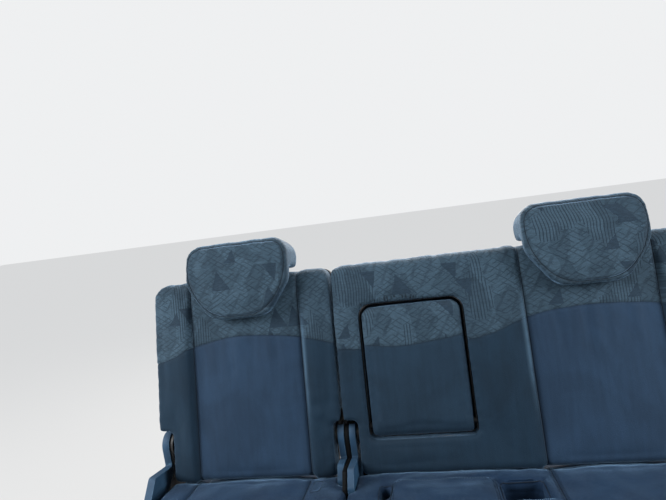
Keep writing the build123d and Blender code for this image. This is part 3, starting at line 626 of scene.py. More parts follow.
@dataclass(frozen=True)
class PaleFloor(Finish):
    """A floor that looks pale to the camera and still shows shadows."""

    glow: Colour = (0.76, 0.77, 0.78)
    glow_share: float = 0.85  # of what the camera sees

    def wire(self, g: Graph, shader: Node, where: Node) -> None:
        """Mixes an even glow in, for camera rays alone.

        Args:
            g: The material's graph.
            shader: Its main shader.
            where: Its texture coordinates, not used.
        """
        glow = g.add("Emission", {"Color": self.glow, "Strength": 1.0})
        seen = g.math("MULTIPLY", g.add("LightPath").outputs["Is Camera Ray"], self.glow_share)
        both = g.add("MixShader", {0: seen, 1: shader.outputs[0], 2: glow.outputs[0]})
        output = next(node for node in g.tree.nodes if node.bl_idname == "ShaderNodeOutputMaterial")
        g.put(output.inputs["Surface"], both.outputs[0])


@dataclass(frozen=True)
class SewnCloth(Finish):
    """Upholstery of plain cut pile, jacquard weave, or both with a seam between."""

    dust: float = 0.03
    face: Face = Face.BACK
    insert: Colour | None = None  # plain pile between the straight seams, where it differs
    seam_line: tuple[Point2, ...] = ()  # across and along: jacquard above it, plain pile below
    straight_seams: tuple[float, ...] = ()  # distances of upright seams from the bench centre
    jacquard: bool = True
    pleated: bool = False  # short pleats above the armrest, with painted shade in their folds
    marks: float = 1.0

    def wire(self, g: Graph, shader: Node, where: Node) -> None:
        """Adds both cloths, the seams between them and the pile's sheen.

        Args:
            g: The material's graph.
            shader: Its main shader.
            where: Its texture coordinates.
        """
        place = self.chart(g, where)
        spot = g.add("SeparateXYZ", {"Vector": place}).outputs
        across, along = spot["X"], spot["Z" if self.face is Face.BACK else "Y"]
        sideways = g.math("ABSOLUTE", across)
        outline = g.add("Attribute", attribute_name="outline", attribute_type="GEOMETRY").outputs["Fac"]
        lines = [g.math("ABSOLUTE", outline)] + [g.apart(sideways, x) for x in self.straight_seams]
        pile: object = self.colour
        if self.insert:
            off = g.apart(sideways, (INNER_SEAM + OUTER_SEAM) / 2)
            pile = g.mix(g.math("LESS_THAN", off, (OUTER_SEAM - INNER_SEAM) / 2), self.colour, self.insert)
        nap = g.effect(NAP, place=place, marks=self.marks).outputs
        colour, height = g.shaded(pile, nap["Shade"]), nap["Height"]
        if self.jacquard:
            sheared = g.math("MULTIPLY_ADD", spot["Y"], 0.8, across)
            flat = g.add("CombineXYZ", {"X": sheared, "Y": along}).outputs[0]
            weave = g.effect(JACQUARD, place=flat).outputs
            share: object = 1.0
            if self.seam_line:
                over = g.math("SUBTRACT", along, self.line_height(g, across))
                share = g.ramp(over, -0.0006, 0.0006)
                lines.append(g.math("ADD", g.math("ABSOLUTE", over), 0.0011))
            colour = g.mix(share, colour, weave["Colour"])
            height = g.math("ADD", height, g.math("MULTIPLY", weave["Height"], share))
        if self.pleated:
            pleat = self.pleats(g, across, along)
            # painted shade in the pleats' folds
            colour = g.mix(g.math("MULTIPLY", pleat, 0.9), colour, PLEAT_SHADE)
            height = g.math("MULTIPLY_ADD", pleat, -2.5, height)
        if self.insert:
            # painted highlight: a pale strip along each inboard seam's shoulder
            colour = g.mix(self.painted_shoulder_highlight(g, place, sideways, along), colour, SHOULDER_HIGHLIGHT)
        near = g.fold("MINIMUM", *lines)
        sewn = g.ramp(near, 0.0005, 0.0019, 1.0, 0.0)
        # painted shade: a faint darkening within 9 mm of each seam, where its groove would shade the cloth
        seam_shade = g.ramp(near, 0.001, 0.009, 0.2, 0.0)
        dark = g.math("MAXIMUM", g.math("MULTIPLY", sewn, 0.72), seam_shade)
        g.feed(shader, {
            "Base Color": self.dusted(g, where, g.mix(dark, colour, SEAM_DARK)),
            "Sheen Weight": 0.6, "Sheen Roughness": 0.28, "Sheen Tint": SHEEN_BLUE, "Specular IOR Level": 0.2,
        })
        self.bump(g, shader, g.math("MULTIPLY_ADD", sewn, -3.0, height), 0.0006)

    def chart(self, g: Graph, where: Node) -> Socket:
        """Object coordinates measured from the bite line, upright on a back.

        Args:
            g: The material's graph.
            where: Its texture coordinates.

        Returns:
            The measured place.
        """
        if self.face is Face.SEAT:
            return g.vector("SUBTRACT", where.outputs["Object"], (0.0, BITE_Y, BITE_Z))
        turn = Matrix.Rotation(LEAN, 3, "X")
        shift = Vector((0, 0, PIVOT_UP)) - turn @ Vector((0, PIVOT_Y, PIVOT_Z))
        inputs = {"Vector": where.outputs["Object"], "Location": shift, "Rotation": (LEAN, 0, 0)}
        return g.add("Mapping", inputs).outputs["Vector"]

    def painted_shoulder_highlight(self, g: Graph, place: Socket, sideways: Socket, along: Socket) -> Socket:
        """A painted highlight: a pale strip on the middle's side of an inboard seam, where its raised
        shoulder would catch the light.

        Args:
            g: The material's graph.
            place: Place on the cloth.
            sideways: Distance from the bench centre.
            along: Place up the face.

        Returns:
            0 to 1.
        """
        beside = g.math("SUBTRACT", INNER_SEAM, sideways)
        return g.fold(
            "MULTIPLY", g.ramp(beside, 0.001, 0.004), g.ramp(beside, 0.006, 0.018, 1.0, 0.0),
            g.ramp(along, 0.08, 0.26, 0.0, 0.75), g.ramp(along, 0.34, 0.41, 1.0, 0.0),
            g.ramp(g.noise(place, 22.0, 3.0), 0.3, 0.6, 0.6, 1.0),
        )

    def pleats(self, g: Graph, across: Socket, along: Socket) -> Socket:
        """Pulled threads and pleats in the edge above the armrest, thickest left of its middle, darkened as
        painted shade in their folds.

        Args:
            g: The material's graph.
            across: Place across the bench.
            along: Place up the face.

        Returns:
            1 in a pleat, 0 beside it.
        """
        spot = g.add("CombineXYZ", {"X": across, "Y": g.math("MULTIPLY", along, 0.22)}).outputs[0]
        folds = g.ramp(g.noise(spot, 190.0, 1.0, 0.6), 0.52, 0.62)
        reach = g.ramp(g.apart(across, -0.030), 0.020, 0.095, 0.022, 0.004)
        over = g.math("SUBTRACT", along, PLEATS_LOW)
        band = g.ramp(g.math("DIVIDE", over, reach), 0.35, 1.0, 1.0, 0.0)
        above = g.math("GREATER_THAN", over, -0.012)
        return g.fold("MULTIPLY", folds, band, above, g.math("LESS_THAN", g.math("ABSOLUTE", across), 0.115))

    def line_height(self, g: Graph, across: Socket) -> Socket:
        """How far up the face the seam between the two cloths runs.

        Args:
            g: The material's graph.
            across: Place across the bench.

        Returns:
            The seam's height above the bite line.
        """
        half, low, span = 0.70, 0.25, 0.15  # half the curve's width, its foot and its height
        curve = g.add("FloatCurve", {"Value": g.math("MULTIPLY_ADD", across, 0.5 / half, 0.5)})
        points = curve.mapping.curves[0].points
        wanted = [((x + half) / (2 * half), (s - low) / span) for x, s in self.seam_line]
        while len(points) < len(wanted):
            points.new(0.5, 0.5)
        for point, spot in zip(points, wanted):
            point.location = spot
            point.handle_type = "AUTO_CLAMPED"
        curve.mapping.update()
        return g.math("MULTIPLY_ADD", curve.outputs["Value"], span, low)


@dataclass(frozen=True)
class FeltCloth(Finish):
    """Needle felt of a rear panel or a lining."""

    fleck: Colour = (0.16, 0.17, 0.18)
    sheen: float = 0.25

    def wire(self, g: Graph, shader: Node, where: Node) -> None:
        """Adds fibres and flecks.

        Args:
            g: The material's graph.
            shader: Its main shader.
            where: Its texture coordinates.
        """
        felt = g.effect(FELT, place=where.outputs["Object"]).outputs
        colour = g.mix(felt["Fleck"], g.shaded(self.colour, felt["Shade"]), self.fleck)
        colour = self.dusted(g, where, colour)
        g.feed(shader, {"Base Color": colour, "Sheen Weight": self.sheen, "Specular IOR Level": 0.15})
        self.bump(g, shader, felt["Height"], 0.0008)


@dataclass(frozen=True)
class MouldedPlastic(Finish):
    """Grained plastic with rubbed edges."""

    rubbed: Colour = (0.16, 0.21, 0.27)
    wear: float = 0.8

    def wire(self, g: Graph, shader: Node, where: Node) -> None:
        """Adds grain, wear and dust.

        Args:
            g: The material's graph.
            shader: Its main shader.
            where: Its texture coordinates.
        """
        place = where.outputs["Object"]
        grain = g.effect(GRAIN, place=place).outputs
        worn = g.effect(WEAR, place=place, amount=self.wear).outputs["Mask"]
        colour = g.mix(worn, g.shaded(self.colour, grain["Shade"]), self.rubbed)
        grazing = g.add("LayerWeight", {"Blend": 0.5}).outputs["Facing"]
        g.feed(shader, {
            "Base Color": self.dusted(g, where, colour),
            "Roughness": g.ramp(worn, 0.0, 1.0, self.roughness, self.roughness - 0.18),
            "Specular IOR Level": g.ramp(grazing, 0.5, 0.9, 0.2, 0.0),
        })
        self.bump(g, shader, grain["Height"], 0.00015)


@dataclass(frozen=True)
class PaintedSteel(Finish):
    """Black-coated steel with chipped edges."""

    bare: Colour = (0.30, 0.29, 0.27)
    wear: float = 0.6
    stained: float = 0.55  # how bright its stains are

    def wire(self, g: Graph, shader: Node, where: Node) -> None:
        """Adds orange peel, chips and dust.

        Args:
            g: The material's graph.
            shader: Its main shader.
            where: Its texture coordinates.
        """
        place = where.outputs["Object"]
        chips = g.ramp(g.effect(WEAR, place=place, amount=self.wear).outputs["Mask"], 0.35, 0.55)
        stain = g.ramp(g.noise(place, 16.0, 5.0, 0.6), 0.35, 0.7)
        colour = g.mix(stain, tuple(c * self.stained for c in self.colour), self.colour)
        g.feed(shader, {
            "Base Color": self.dusted(g, where, g.mix(chips, colour, self.bare)),
            "Metallic": chips,
            "Roughness": g.ramp(stain, 0.0, 1.0, self.roughness + 0.12, self.roughness - 0.05),
        })
        self.bump(g, shader, g.noise(place, 420.0, 2.0), 0.00012)


@dataclass(frozen=True)
class BrightSteel(Finish):
    """Plated posts and tubes with fine rubbed rings."""

    smeared: float = 0.8  # how bright its smears are

    def wire(self, g: Graph, shader: Node, where: Node) -> None:
        """Adds drawn scratches and smears.

        Args:
            g: The material's graph.
            shader: Its main shader.
            where: Its texture coordinates.
        """
        place = where.outputs["Object"]
        smears = g.noise(place, 45.0, 4.0, 0.4)
        dull = tuple(c * self.smeared for c in self.colour)
        g.feed(shader, {
            "Metallic": 1.0,
            "Base Color": g.mix(g.ramp(smears, 0.3, 0.8), self.colour, dull),
            "Roughness": g.ramp(smears, 0.3, 0.7, self.roughness, self.roughness + 0.12),
        })
        self.bump(g, shader, g.streaks(place, (60.0, 60.0, 1500.0), 2.0), 0.00004)


PILE_BACK: Colour = (0.009, 0.026, 0.048)
PILE_INSERT: Colour = (0.018, 0.042, 0.082)
PILE_SEAT: Colour = (0.007, 0.024, 0.058)
NARROW_LINE = (
    (-0.685, 0.293), (-0.617, 0.311), (-0.573, 0.330), (-0.502, 0.345), (-0.433, 0.352),
    (-0.352, 0.347), (-0.281, 0.337), (-0.236, 0.327), (-0.185, 0.311),
)
WIDE_LINE = (
    (-0.196, 0.297), (-0.160, 0.296), (-0.129, 0.293), (0.134, 0.295), (0.186, 0.304), (0.274, 0.334),
    (0.349, 0.347), (0.414, 0.350), (0.492, 0.347), (0.549, 0.341), (0.617, 0.312), (0.685, 0.293),
)
SPLIT_LINE = ((-0.1875, 0.14), (-0.1875, 0.47))
ARM_OPENING = ((-0.122, 0.077), (-0.122, 0.397), (0.132, 0.397), (0.132, 0.077), (-0.122, 0.077))
ARM_LINE = ((-0.130, 0.303), (-0.110, 0.301), (-0.026, 0.293), (0.045, 0.298), (0.122, 0.307), (0.140, 0.309))
STRAIGHT_SEAMS = (INNER_SEAM, OUTER_SEAM)
NARROW_CLOTH = SewnCloth(
    "narrow back cloth", PILE_BACK, insert=PILE_INSERT, seam_line=NARROW_LINE, straight_seams=STRAIGHT_SEAMS,
)
WIDE_CLOTH = SewnCloth(
    "wide back cloth", PILE_BACK, insert=PILE_INSERT, seam_line=WIDE_LINE, straight_seams=STRAIGHT_SEAMS,
    pleated=True,
)
ARM_CLOTH = SewnCloth("armrest cloth", (0.012, 0.031, 0.056), seam_line=ARM_LINE)
HEAD_CLOTH = SewnCloth("head restraint cloth", PILE_BACK)
SEAT_CLOTH = SewnCloth(
    "cushion cloth", PILE_SEAT, jacquard=False, face=Face.SEAT, straight_seams=STRAIGHT_SEAMS, marks=1.2,
)
HEM_CLOTH = SewnCloth("hem cloth", (0.010, 0.028, 0.062), jacquard=False, face=Face.SEAT, marks=0.4)

CAD_FINISHES = {
    "well_lining": FeltCloth("well lining", (0.012, 0.018, 0.028), fleck=(0.02, 0.03, 0.04), dust=0.0),
    "panel_carpet": FeltCloth("panel carpet", (0.034, 0.039, 0.046), fleck=(0.09, 0.095, 0.10), sheen=0.12),
    "frame_steel": PaintedSteel("frame steel", (0.022, 0.023, 0.025), 0.45),
    "anchor_steel": PaintedSteel("anchor steel", (0.030, 0.031, 0.033), 0.5, 0.25),
    "post_steel": BrightSteel("post steel", (0.62, 0.63, 0.65), 0.22),
    "trim_plastic": MouldedPlastic("trim plastic", (0.028, 0.070, 0.130), 0.6, rubbed=(0.12, 0.24, 0.36)),
    "guide_plastic": MouldedPlastic("guide plastic", (0.040, 0.048, 0.060), 0.5),
    "lever_plastic": MouldedPlastic("lever plastic", (0.028, 0.034, 0.045), 0.48),
}
# near-black foam of the pieces that stand as painted shade in the gaps between parts
SHADE_FOAM = FeltCloth("black shade foam", (0.004, 0.005, 0.006), fleck=(0.009, 0.010, 0.011), dust=0.0, sheen=0.0)
HINGE_STEEL = PaintedSteel("hinge steel", (0.016, 0.017, 0.020), 0.5, 0.05)
NODE_FINISHES = {"armrest_hinge": HINGE_STEEL}  # nodes that differ from their slot's other nodes


def from_evaluated(piece: Piece) -> Mesh:
    """A new mesh of the piece as its modifiers leave it.

    Args:
        piece: The piece, which stays as it is.

    Returns:
        The new mesh.
    """
    graph = bpy.context.evaluated_depsgraph_get()
    seen = piece.evaluated_get(graph)
    return bpy.data.meshes.new_from_object(seen, preserve_all_data_layers=True, depsgraph=graph)


def bake_modifiers(piece: Piece) -> None:
    """Makes a piece's modifiers part of its mesh.

    Args:
        piece: The piece.
    """
    mesh = from_evaluated(piece)
    piece.modifiers.clear()
    piece.data = mesh


def coordinates(mesh: Mesh, kind: str = "co") -> np.ndarray:
    """Reads a vector of every vertex.

    Args:
        mesh: The mesh.
        kind: Its attribute: co for places, normal for normals.

    Returns:
        An array of n vertices by x, y, z.
    """
    flat = np.empty(len(mesh.vertices) * 3)
    mesh.vertices.foreach_get(kind, flat)
    return flat.reshape(-1, 3)


def move_vertices(mesh: Mesh, points: np.ndarray) -> None:
    """Writes new places for every vertex."""
    mesh.vertices.foreach_set("co", points.ravel())
    mesh.update()


def linked(name: str, data: bpy.types.ID) -> Piece:
    """Puts a new object into the scene.

    Args:
        name: Its name.
        data: Its mesh, light or camera.

    Returns:
        The object.
    """
    made = bpy.data.objects.new(name, data)
    bpy.context.scene.collection.objects.link(made)
    return made


def add_piece(name: str, mesh: Mesh, finish: Finish, body: str) -> Piece:
    """Puts a finished mesh into the scene on its body.

    Args:
        name: The piece's name.
        mesh: Its mesh, in the rest frame.
        finish: Its finish.
        body: The CAD body that it rides on.

    Returns:
        The new piece.
    """
    piece = linked(name, mesh)
    mesh.materials.clear()
    mesh.materials.append(finish.material())
    mesh.shade_smooth()
    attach(piece, body)
    LOG.info("%s: %d faces", name, len(mesh.polygons))
    return piece


def finished(made: bmesh.types.BMesh, name: str) -> Mesh:
    """Turns a mesh that was worked on into a new one.

    Args:
        made: The worked mesh, which is freed.
        name: The new mesh's name.

    Returns:
        The new mesh.
    """
    mesh = bpy.data.meshes.new(name)
    made.to_mesh(mesh)
    made.free()
    return mesh


def lofted(rings: Sequence[Sequence[Vector]], name: str, closed: bool = False) -> Mesh:
    """A closed mesh through rings of points.

    Args:
        rings: Rings of the same number of points.
        name: The mesh's name.
        closed: Whether the last ring meets the first one. Otherwise both are capped.

    Returns:
        The mesh.
    """
    made = bmesh.new()
    laid = [[made.verts.new(point) for point in ring] for ring in rings]
    first, last, count = laid[0], laid[-1], len(laid[0])
    pairs = list(zip(laid, laid[1:]))
    if closed:
        shift = min(range(count), key=lambda k: (last[0].co - first[k].co).length)
        pairs.append((last, first[shift:] + first[:shift]))
    for low, high in pairs:
        for k in range(count):
            made.faces.new((low[k], low[(k + 1) % count], high[(k + 1) % count], high[k]))
    if not closed:
        made.faces.new(first[::-1])
        made.faces.new(last)
    bmesh.ops.recalc_face_normals(made, faces=made.faces)
    return finished(made, name)


def tube(points: Sequence[Vector], radius: float, sides: int, closed: bool) -> Mesh:
    """A round tube along a path.

    Args:
        points: The path.
        radius: The tube's radius.
        sides: Faces around it.
        closed: Whether the path's end meets its start.

    Returns:
        The closed mesh.
    """
    rings, count, up = [], len(points), None
    for i, point in enumerate(points):
        if closed:
            run = points[(i + 1) % count] - points[i - 1]
        else:
            run = points[min(i + 1, count - 1)] - points[max(i - 1, 0)]
        run.normalize()
        up = run.orthogonal() if up is None else up
        up = (up - run * up.dot(run)).normalized()
        side = run.cross(up)
        turns = (2 * math.pi * k / sides for k in range(sides))
        rings.append([point + (up * math.cos(t) + side * math.sin(t)) * radius for t in turns])
    return lofted(rings, "tube", closed)


def slab(loop: Sequence[Point2], middle: Point2, slices: Sequence[Point2], name: str) -> Mesh:
    """A closed mesh of an upright outline whose size changes across the bench.

    Args:
        loop: The outline's points, as y and z.
        middle: The point that it shrinks towards.
        slices: Pairs of a place across the bench and the outline's size there.
        name: The mesh's name.

    Returns:
        The mesh.
    """
    return lofted([
        [(x, *(m + (v - m) * size for m, v in zip(middle, spot))) for spot in loop] for x, size in slices
    ], name)


def joined(meshes: Sequence[Mesh], name: str) -> Mesh:
    """One mesh of several.

    Args:
        meshes: The meshes, which are removed.
        name: The new mesh's name.

    Returns:
        The new mesh.
    """
    made = bmesh.new()
    for mesh in meshes:
        made.from_mesh(mesh)
        bpy.data.meshes.remove(mesh)
    return finished(made, name)


@dataclass
class SoftPad:
    """A foam pad in sewn cloth that stands for a soft CAD node."""

    node: str
    body: str
    slot: str
    finish: SewnCloth
    face: Face
    voxel: float = 0.0075
    rounding: int = 8  # smoothing passes on the raw shape
    crisp: float = 0.13  # how far from the bite its edges stay crisper
    inset: float = 0.003  # how much smaller it starts
    swell: float = 0.008  # most that its face may rise
    edge_swell: float = 0.0025  # most that its sides may rise
    fill: float = 0.8
    seams: tuple[Seam, ...] = ()
    outline: tuple[Point2, ...] = ()  # closed line whose distance the finish reads
    band: float = 0.0  # boxing seam round the sides, below the face
    firm: tuple[tuple[Point2, ...], ...] = ()  # lines along which the edges stay crisper
    depth: float = 0.065  # face to rear, where the seams have died out
    wrinkle: Callable[[np.ndarray], np.ndarray] | None = None
    piece: Piece = field(init=False)
    base: np.ndarray = field(init=False)  # the CAD's own surface, softened
    out: np.ndarray = field(init=False)
    raw: np.ndarray = field(init=False)

    def start(self) -> None:
        """Makes the even, slightly small mesh that is to swell."""
        mesh = frame["nodes"][self.node].data.copy()
        made = bmesh.new()
        made.from_mesh(mesh)
        bmesh.ops.remove_doubles(made, verts=made.verts, dist=1e-5)
        made.to_mesh(mesh)
        made.free()
        self.piece = linked(self.node + "_pad", mesh)
        remesh = self.piece.modifiers.new("even", "REMESH")
        remesh.mode, remesh.voxel_size = "VOXEL", self.voxel
        bake_modifiers(self.piece)
        edged = coordinates(self.piece.data)
        smooth = self.piece.modifiers.new("soft", "SMOOTH")
        smooth.factor, smooth.iterations = 0.5, self.rounding
        bake_modifiers(self.piece)
        mesh = self.piece.data
        soft = self.softness(self.face.chart(edged))
        move_vertices(mesh, edged + (coordinates(mesh) - edged) * soft[:, None])
        self.base, self.out = coordinates(mesh), coordinates(mesh, "normal")
        self.raw = self.base - self.out * self.inset
        move_vertices(mesh, self.raw)

    def softness(self, chart: np.ndarray) -> np.ndarray:
        """Share of the smoothing that each point takes: less near the bite and along firm lines.

        Args:
            chart: The points' chart distances.

        Returns:
            A share of 0 to 1 for each.
        """
        soft = 0.25 + 0.75 * smooth_step(np.abs(chart[:, 1]), self.crisp, self.crisp + 0.06)
        for line in self.firm:
            near = path_distance(chart[:, :2], line, False)
            soft = np.minimum(soft, 0.3 + 0.7 * smooth_step(near, 0.014, 0.035))
        return soft

    def seam_nearness(self, chart: np.ndarray) -> np.ndarray:
        """Distance to the nearest pinned seam.

        Args:
            chart: The points' chart distances.

        Returns:
            A distance for each, 1 m where no seam is nearer.
        """
        near = np.full(len(chart), 1.0)
        for seam in self.seams:
            if seam.pinned:
                near = np.minimum(near, seam.distance(chart))
        return near

    def add_pressure(self) -> None:
        """Sets the cloth up: seams and the hidden rear are held, and air pushes the rest."""
        mesh = self.piece.data
        chart = self.face.chart(self.raw)
        held = (self.seam_nearness(chart) < self.voxel * 0.9) & (chart[:, 2] > -self.depth * 0.8)
        held |= chart[:, 2] < -self.depth * 0.9
        group = self.piece.vertex_groups.new(name="held")
        group.add([int(i) for i in np.flatnonzero(held)], 1.0, "REPLACE")
        cloth = self.piece.modifiers.new("pressure", "CLOTH")
        cloth.settings.vertex_group_mass = "held"
        cloth.settings.use_pressure = True
        cloth.settings.uniform_pressure_force = PRESSURE
        cloth.settings.effector_weights.gravity = 0.0
        cloth.settings.quality = 4
        cloth.point_cache.frame_start, cloth.point_cache.frame_end = 1, SWELL_FRAMES
        mesh.update()

    def settle(self) -> None:
        """Keeps the swollen shape, with each point's way held to what its place allows."""
        facing = np.clip(self.out @ np.array(self.face.outward()), 0, 1)
        most = self.edge_swell + (self.swell - self.edge_swell) * facing ** 1.5
        chart = self.face.chart(self.base)
        for line in self.firm:
            near = path_distance(chart[:, :2], line, False)
            most += 0.0010 * (1 - facing) * (1 - smooth_step(near, 0.008, 0.02))
        if self.piece.modifiers:
            swollen = from_evaluated(self.piece)
            way = coordinates(swollen) - self.base
            bpy.data.meshes.remove(swollen)
            self.piece.modifiers.clear()
            rise = np.sum(way * self.out, axis=1)
            slide = way - self.out * rise[:, None]
            reach = 0.0005 + 0.002 * facing
            slide *= np.minimum(1, reach / np.maximum(np.linalg.norm(slide, axis=1), 1e-9))[:, None]
        else:
            near = self.seam_nearness(chart)
            rise, slide = most * np.tanh(near / 0.03), np.zeros_like(self.base)
        near = self.seam_nearness(chart)
        most *= 0.2 + 0.8 * smooth_step(near, 0.0, 0.028)
        least = -self.inset * facing * (1 - smooth_step(near, 0.015, 0.045))
        rise = np.maximum(most * np.tanh(rise / most), least)
        move_vertices(self.piece.data, self.base + slide + self.out * rise[:, None])
        fine = self.piece.modifiers.new("fine", "SUBSURF")
        fine.levels = fine.render_levels = 1
        bake_modifiers(self.piece)

    def sew(self) -> None:
        """Pulls the seams in, adds wrinkles and notes the outline's distance."""
        mesh = self.piece.data
        points, out = coordinates(mesh), coordinates(mesh, "normal")
        chart = self.face.chart(points)
        ahead = smooth_step(chart[:, 2], -self.depth * 0.85, -self.depth * 0.55) * self.face.openness(out)
        sunk = np.zeros(len(points))
        for seam in self.seams:
            near = seam.distance(chart)
            dip = seam.depth * hill(near, 0.0, seam.width * 0.5)
            if seam.pucker:
                run = chart[:, 0] + chart[:, 1]
                gather = Ripple(31, 0.004, 0.004, 8).at(run, run * 0.3)
                dip += seam.pucker * gather * hill(near, 0.0, seam.width * 1.3)
            sunk = np.maximum(sunk, dip) if not seam.pucker else sunk + dip
        sunk *= ahead
        if self.band:
            side = 1 - np.abs(out @ np.array(self.face.outward()))
            sunk += 0.0018 * hill(chart[:, 2], -self.band, 0.0035) * smooth_step(side, 0.5, 0.9)
        if self.wrinkle:
            sunk -= self.wrinkle(chart) * ahead
        move_vertices(mesh, points - out * sunk[:, None])
        values = np.full(len(points), 1.0)
        if self.outline:
            values = path_distance(chart[:, :2], self.outline, True)
            values = np.where(ahead > 0.5, values, 1.0)
        note = mesh.attributes.new("outline", "FLOAT", "POINT")
        note.data.foreach_set("value", values)

    def dress(self) -> None:
        """Gives the pad its cloth and its place on the frame."""
        mesh = self.piece.data
        mesh.materials.clear()
        mesh.materials.append(self.finish.material())
        mesh.shade_smooth()
        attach(self.piece, self.body)
        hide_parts(self.node)
        LOG.info("%s: %d faces", self.piece.name, len(mesh.polygons))

    def surface(self) -> BVHTree:
        """The pad's surface, for laying thread and hems on it.

        Returns:
            A tree that rays can be cast at.
        """
        made = bmesh.new()
        made.from_mesh(self.piece.data)
        tree = BVHTree.FromBMesh(made)
        made.free()
        return tree

    def lay(self, path: Sequence[Point2], lift: float) -> list[Vector]:
        """Lays a path on the pad's face.

        Args:
            path: Its points, from the bite line.
            lift: How far it is lifted off the face.

        Returns:
            World points.
        """
        tree, out = self.surface(), self.face.outward()
        laid = []
        for across, along in path:
            found = tree.ray_cast(self.face.place(across, along, 0.12), -out, 0.2)[0]
            laid.append((found or self.face.place(across, along, 0.0)) + out * lift)
        return laid


def swell_all(pads: Sequence[SoftPad]) -> None:
    """Args:
        pads: The started pads.
    """
    for pad in pads:
        pad.add_pressure()
    for number in range(1, SWELL_FRAMES + 1):
        bpy.context.scene.frame_set(number)
    for pad in pads:
        pad.settle()
    bpy.context.scene.frame_set(1)
    for pad in pads:
        pad.sew()
        pad.dress()


def upright(x: float) -> Seam:
    """A straight seam up a back, from below the bite to past the crest."""
    return Seam(((x, -0.06), (x, 0.60)))


def fore_and_aft(x: float, front: float = -0.56, rear: float = 0.09) -> Seam:
    """A straight seam along a cushion."""
    return Seam(((x, rear), (x, front)))


@dataclass
class Backs:
    """The pads of both backs, with creases where the sitter's weight has worked the cloth."""

    streak_depth: float = 0.0019
    crumple: float = 0.0012
    insert_drop: float = 0.002  # places to lean on, below the bolsters and the middle
    shoulder: float = 0.0065

    def steps(self, chart: np.ndarray) -> np.ndarray:
        """Lowers the inserts between the straight seams and raises the cloth beside them.

        Args:
            chart: The points' chart distances.

        Returns:
            A rise for each.
        """
        across, along = np.abs(chart[:, 0]), chart[:, 1]
        beside = np.maximum(INNER_SEAM - across, across - OUTER_SEAM)
        insert = 1 - smooth_step(beside, -0.002, 0.012)
        raised = smooth_step(beside, -0.001, 0.016) * (1 - 0.6 * smooth_step(beside, 0.016, 0.06))
        fading = 1 - 0.8 * smooth_step(along, 0.36, 0.46)
        return (self.shoulder * raised - self.insert_drop * insert) * fading

    def gathers(self, chart: np.ndarray) -> np.ndarray:
        """Short pleats in the edge above the armrest, deepest left of its middle.

        Args:
            chart: The points' chart distances.

        Returns:
            A rise for each.
        """
        across, along = chart[:, 0], chart[:, 1]
        band = smooth_step(along, 0.392, 0.398) * (1 - smooth_step(along, 0.404, 0.418))
        where = hill(across, -0.012, 0.026) + 0.6 * hill(across, 0.055, 0.02)
        return 0.0016 * np.sin(across * 2 * math.pi / 0.0105 + 1.5 * np.sin(across * 80)) * band * where

    def creases(self, chart: np.ndarray) -> np.ndarray:
        """Upright soft streaks below the pattern's seam and a gentle unevenness all over.

        Args:
            chart: The points' chart distances.

        Returns:
            A rise for each.
        """
        across, along = chart[:, 0], chart[:, 1]
        streaks = Ripple(5, 0.017, 0.20).at(across, along) * np.where(across < 0, 0.45, 1.0)
        under = smooth_step(along, 0.20, 0.32) * (1 - smooth_step(along, 0.33, 0.37))
        place = smooth_step(np.abs(across), 0.28, 0.34) * (1 - smooth_step(np.abs(across), 0.53, 0.56))
        even = Ripple(9, 0.055, 0.075).at(across, along)
        edge = Ripple(12, 0.018, 0.05).at(across, along) * smooth_step(along, 0.44, 0.50)
        bolster = hill(across, -0.235, 0.03) * hill(along, 0.17, 0.11)
        dent = hill(across, -0.458, 0.012) * hill(along, 0.268, 0.016)
        pulled = Ripple(41, 0.016, 0.022).at(across + along * 0.6, along - across * 0.6)
        worn = self.streak_depth * streaks * under * (0.25 + place) + self.crumple * even * 0.5
        worn += 0.0008 * edge + 0.0010 * pulled * bolster - 0.0022 * dent
        return worn + self.steps(chart) + self.gathers(chart)

    def pads(self) -> list[SoftPad]:
        """The narrow and the wide back's pads.

        Returns:
            The two pads, not yet started.
        """
        rows = (
            ("narrow", -1, NARROW_LINE, NARROW_CLOTH, (SPLIT_LINE,)),
            ("wide", 1, WIDE_LINE, WIDE_CLOTH, (SPLIT_LINE, ARM_OPENING)),
        )
        made = []
        for name, side, line, cloth, firm in rows:
            between = Seam(line, 0.0016, 0.007, pinned=False, pucker=0.0004)
            made.append(SoftPad(
                f"{name}_back_cushion", f"{name}_back", "back_cloth", cloth, Face.BACK,
                seams=(upright(side * INNER_SEAM), upright(side * OUTER_SEAM), between),
                wrinkle=self.creases, fill=0.8, firm=firm,
            ))
        return made


@dataclass
class Headrests:
    """Saddle-shaped head restraints with a sewn front panel and a side gusset."""

    middle: float = 0.419
    half_width: float = 0.136
    low: float = 0.396
    high: float = 0.593
    border: float = 0.006  # front panel inside the outline
    taper: float = 0.062  # how much each lower corner is cut off across
    cut: float = 0.082  # and up
    corner: float = 0.055

    def panel(self, side: int) -> tuple[Point2, ...]:
        """The seam round a front panel.

        Args:
            side: -1 for the narrow half, 1 for the wide one.

        Returns:
            Its points, from the bite line.
        """
        reach = self.half_width - self.border
        left, right = side * self.middle - reach, side * self.middle + reach
        low, high = self.low + self.border, self.high - self.border
        corners = (
            (left, high), (right, high), (right, low + self.cut), (right - self.taper, low),
            (left + self.taper, low), (left, low + self.cut),
        )
        return tuple(rounded_loop(corners, self.corner, 8))

    def dents(self, chart: np.ndarray) -> np.ndarray:
        """Shallow unevenness of a well-used head restraint."""
        return 0.0007 * Ripple(17, 0.03, 0.03).at(chart[:, 0], chart[:, 1])

    def pads(self) -> list[SoftPad]:
        """Both head restraints.

        Returns:
            The two pads, not yet started.
        """
        made = []
        for name, side in (("narrow", -1), ("wide", 1)):
            loop = self.panel(side)
            made.append(SoftPad(
                f"{name}_headrest_pad", f"{name}_headrest", "headrest_cloth", HEAD_CLOTH, Face.BACK,
                voxel=0.006, rounding=7, crisp=0.0, swell=0.006, edge_swell=0.003, depth=0.075, outline=loop,
                seams=(Seam(loop, 0.0026, 0.008, closed=True, pucker=0.0003),), wrinkle=self.dents, fill=0.9,
            ))
        return made


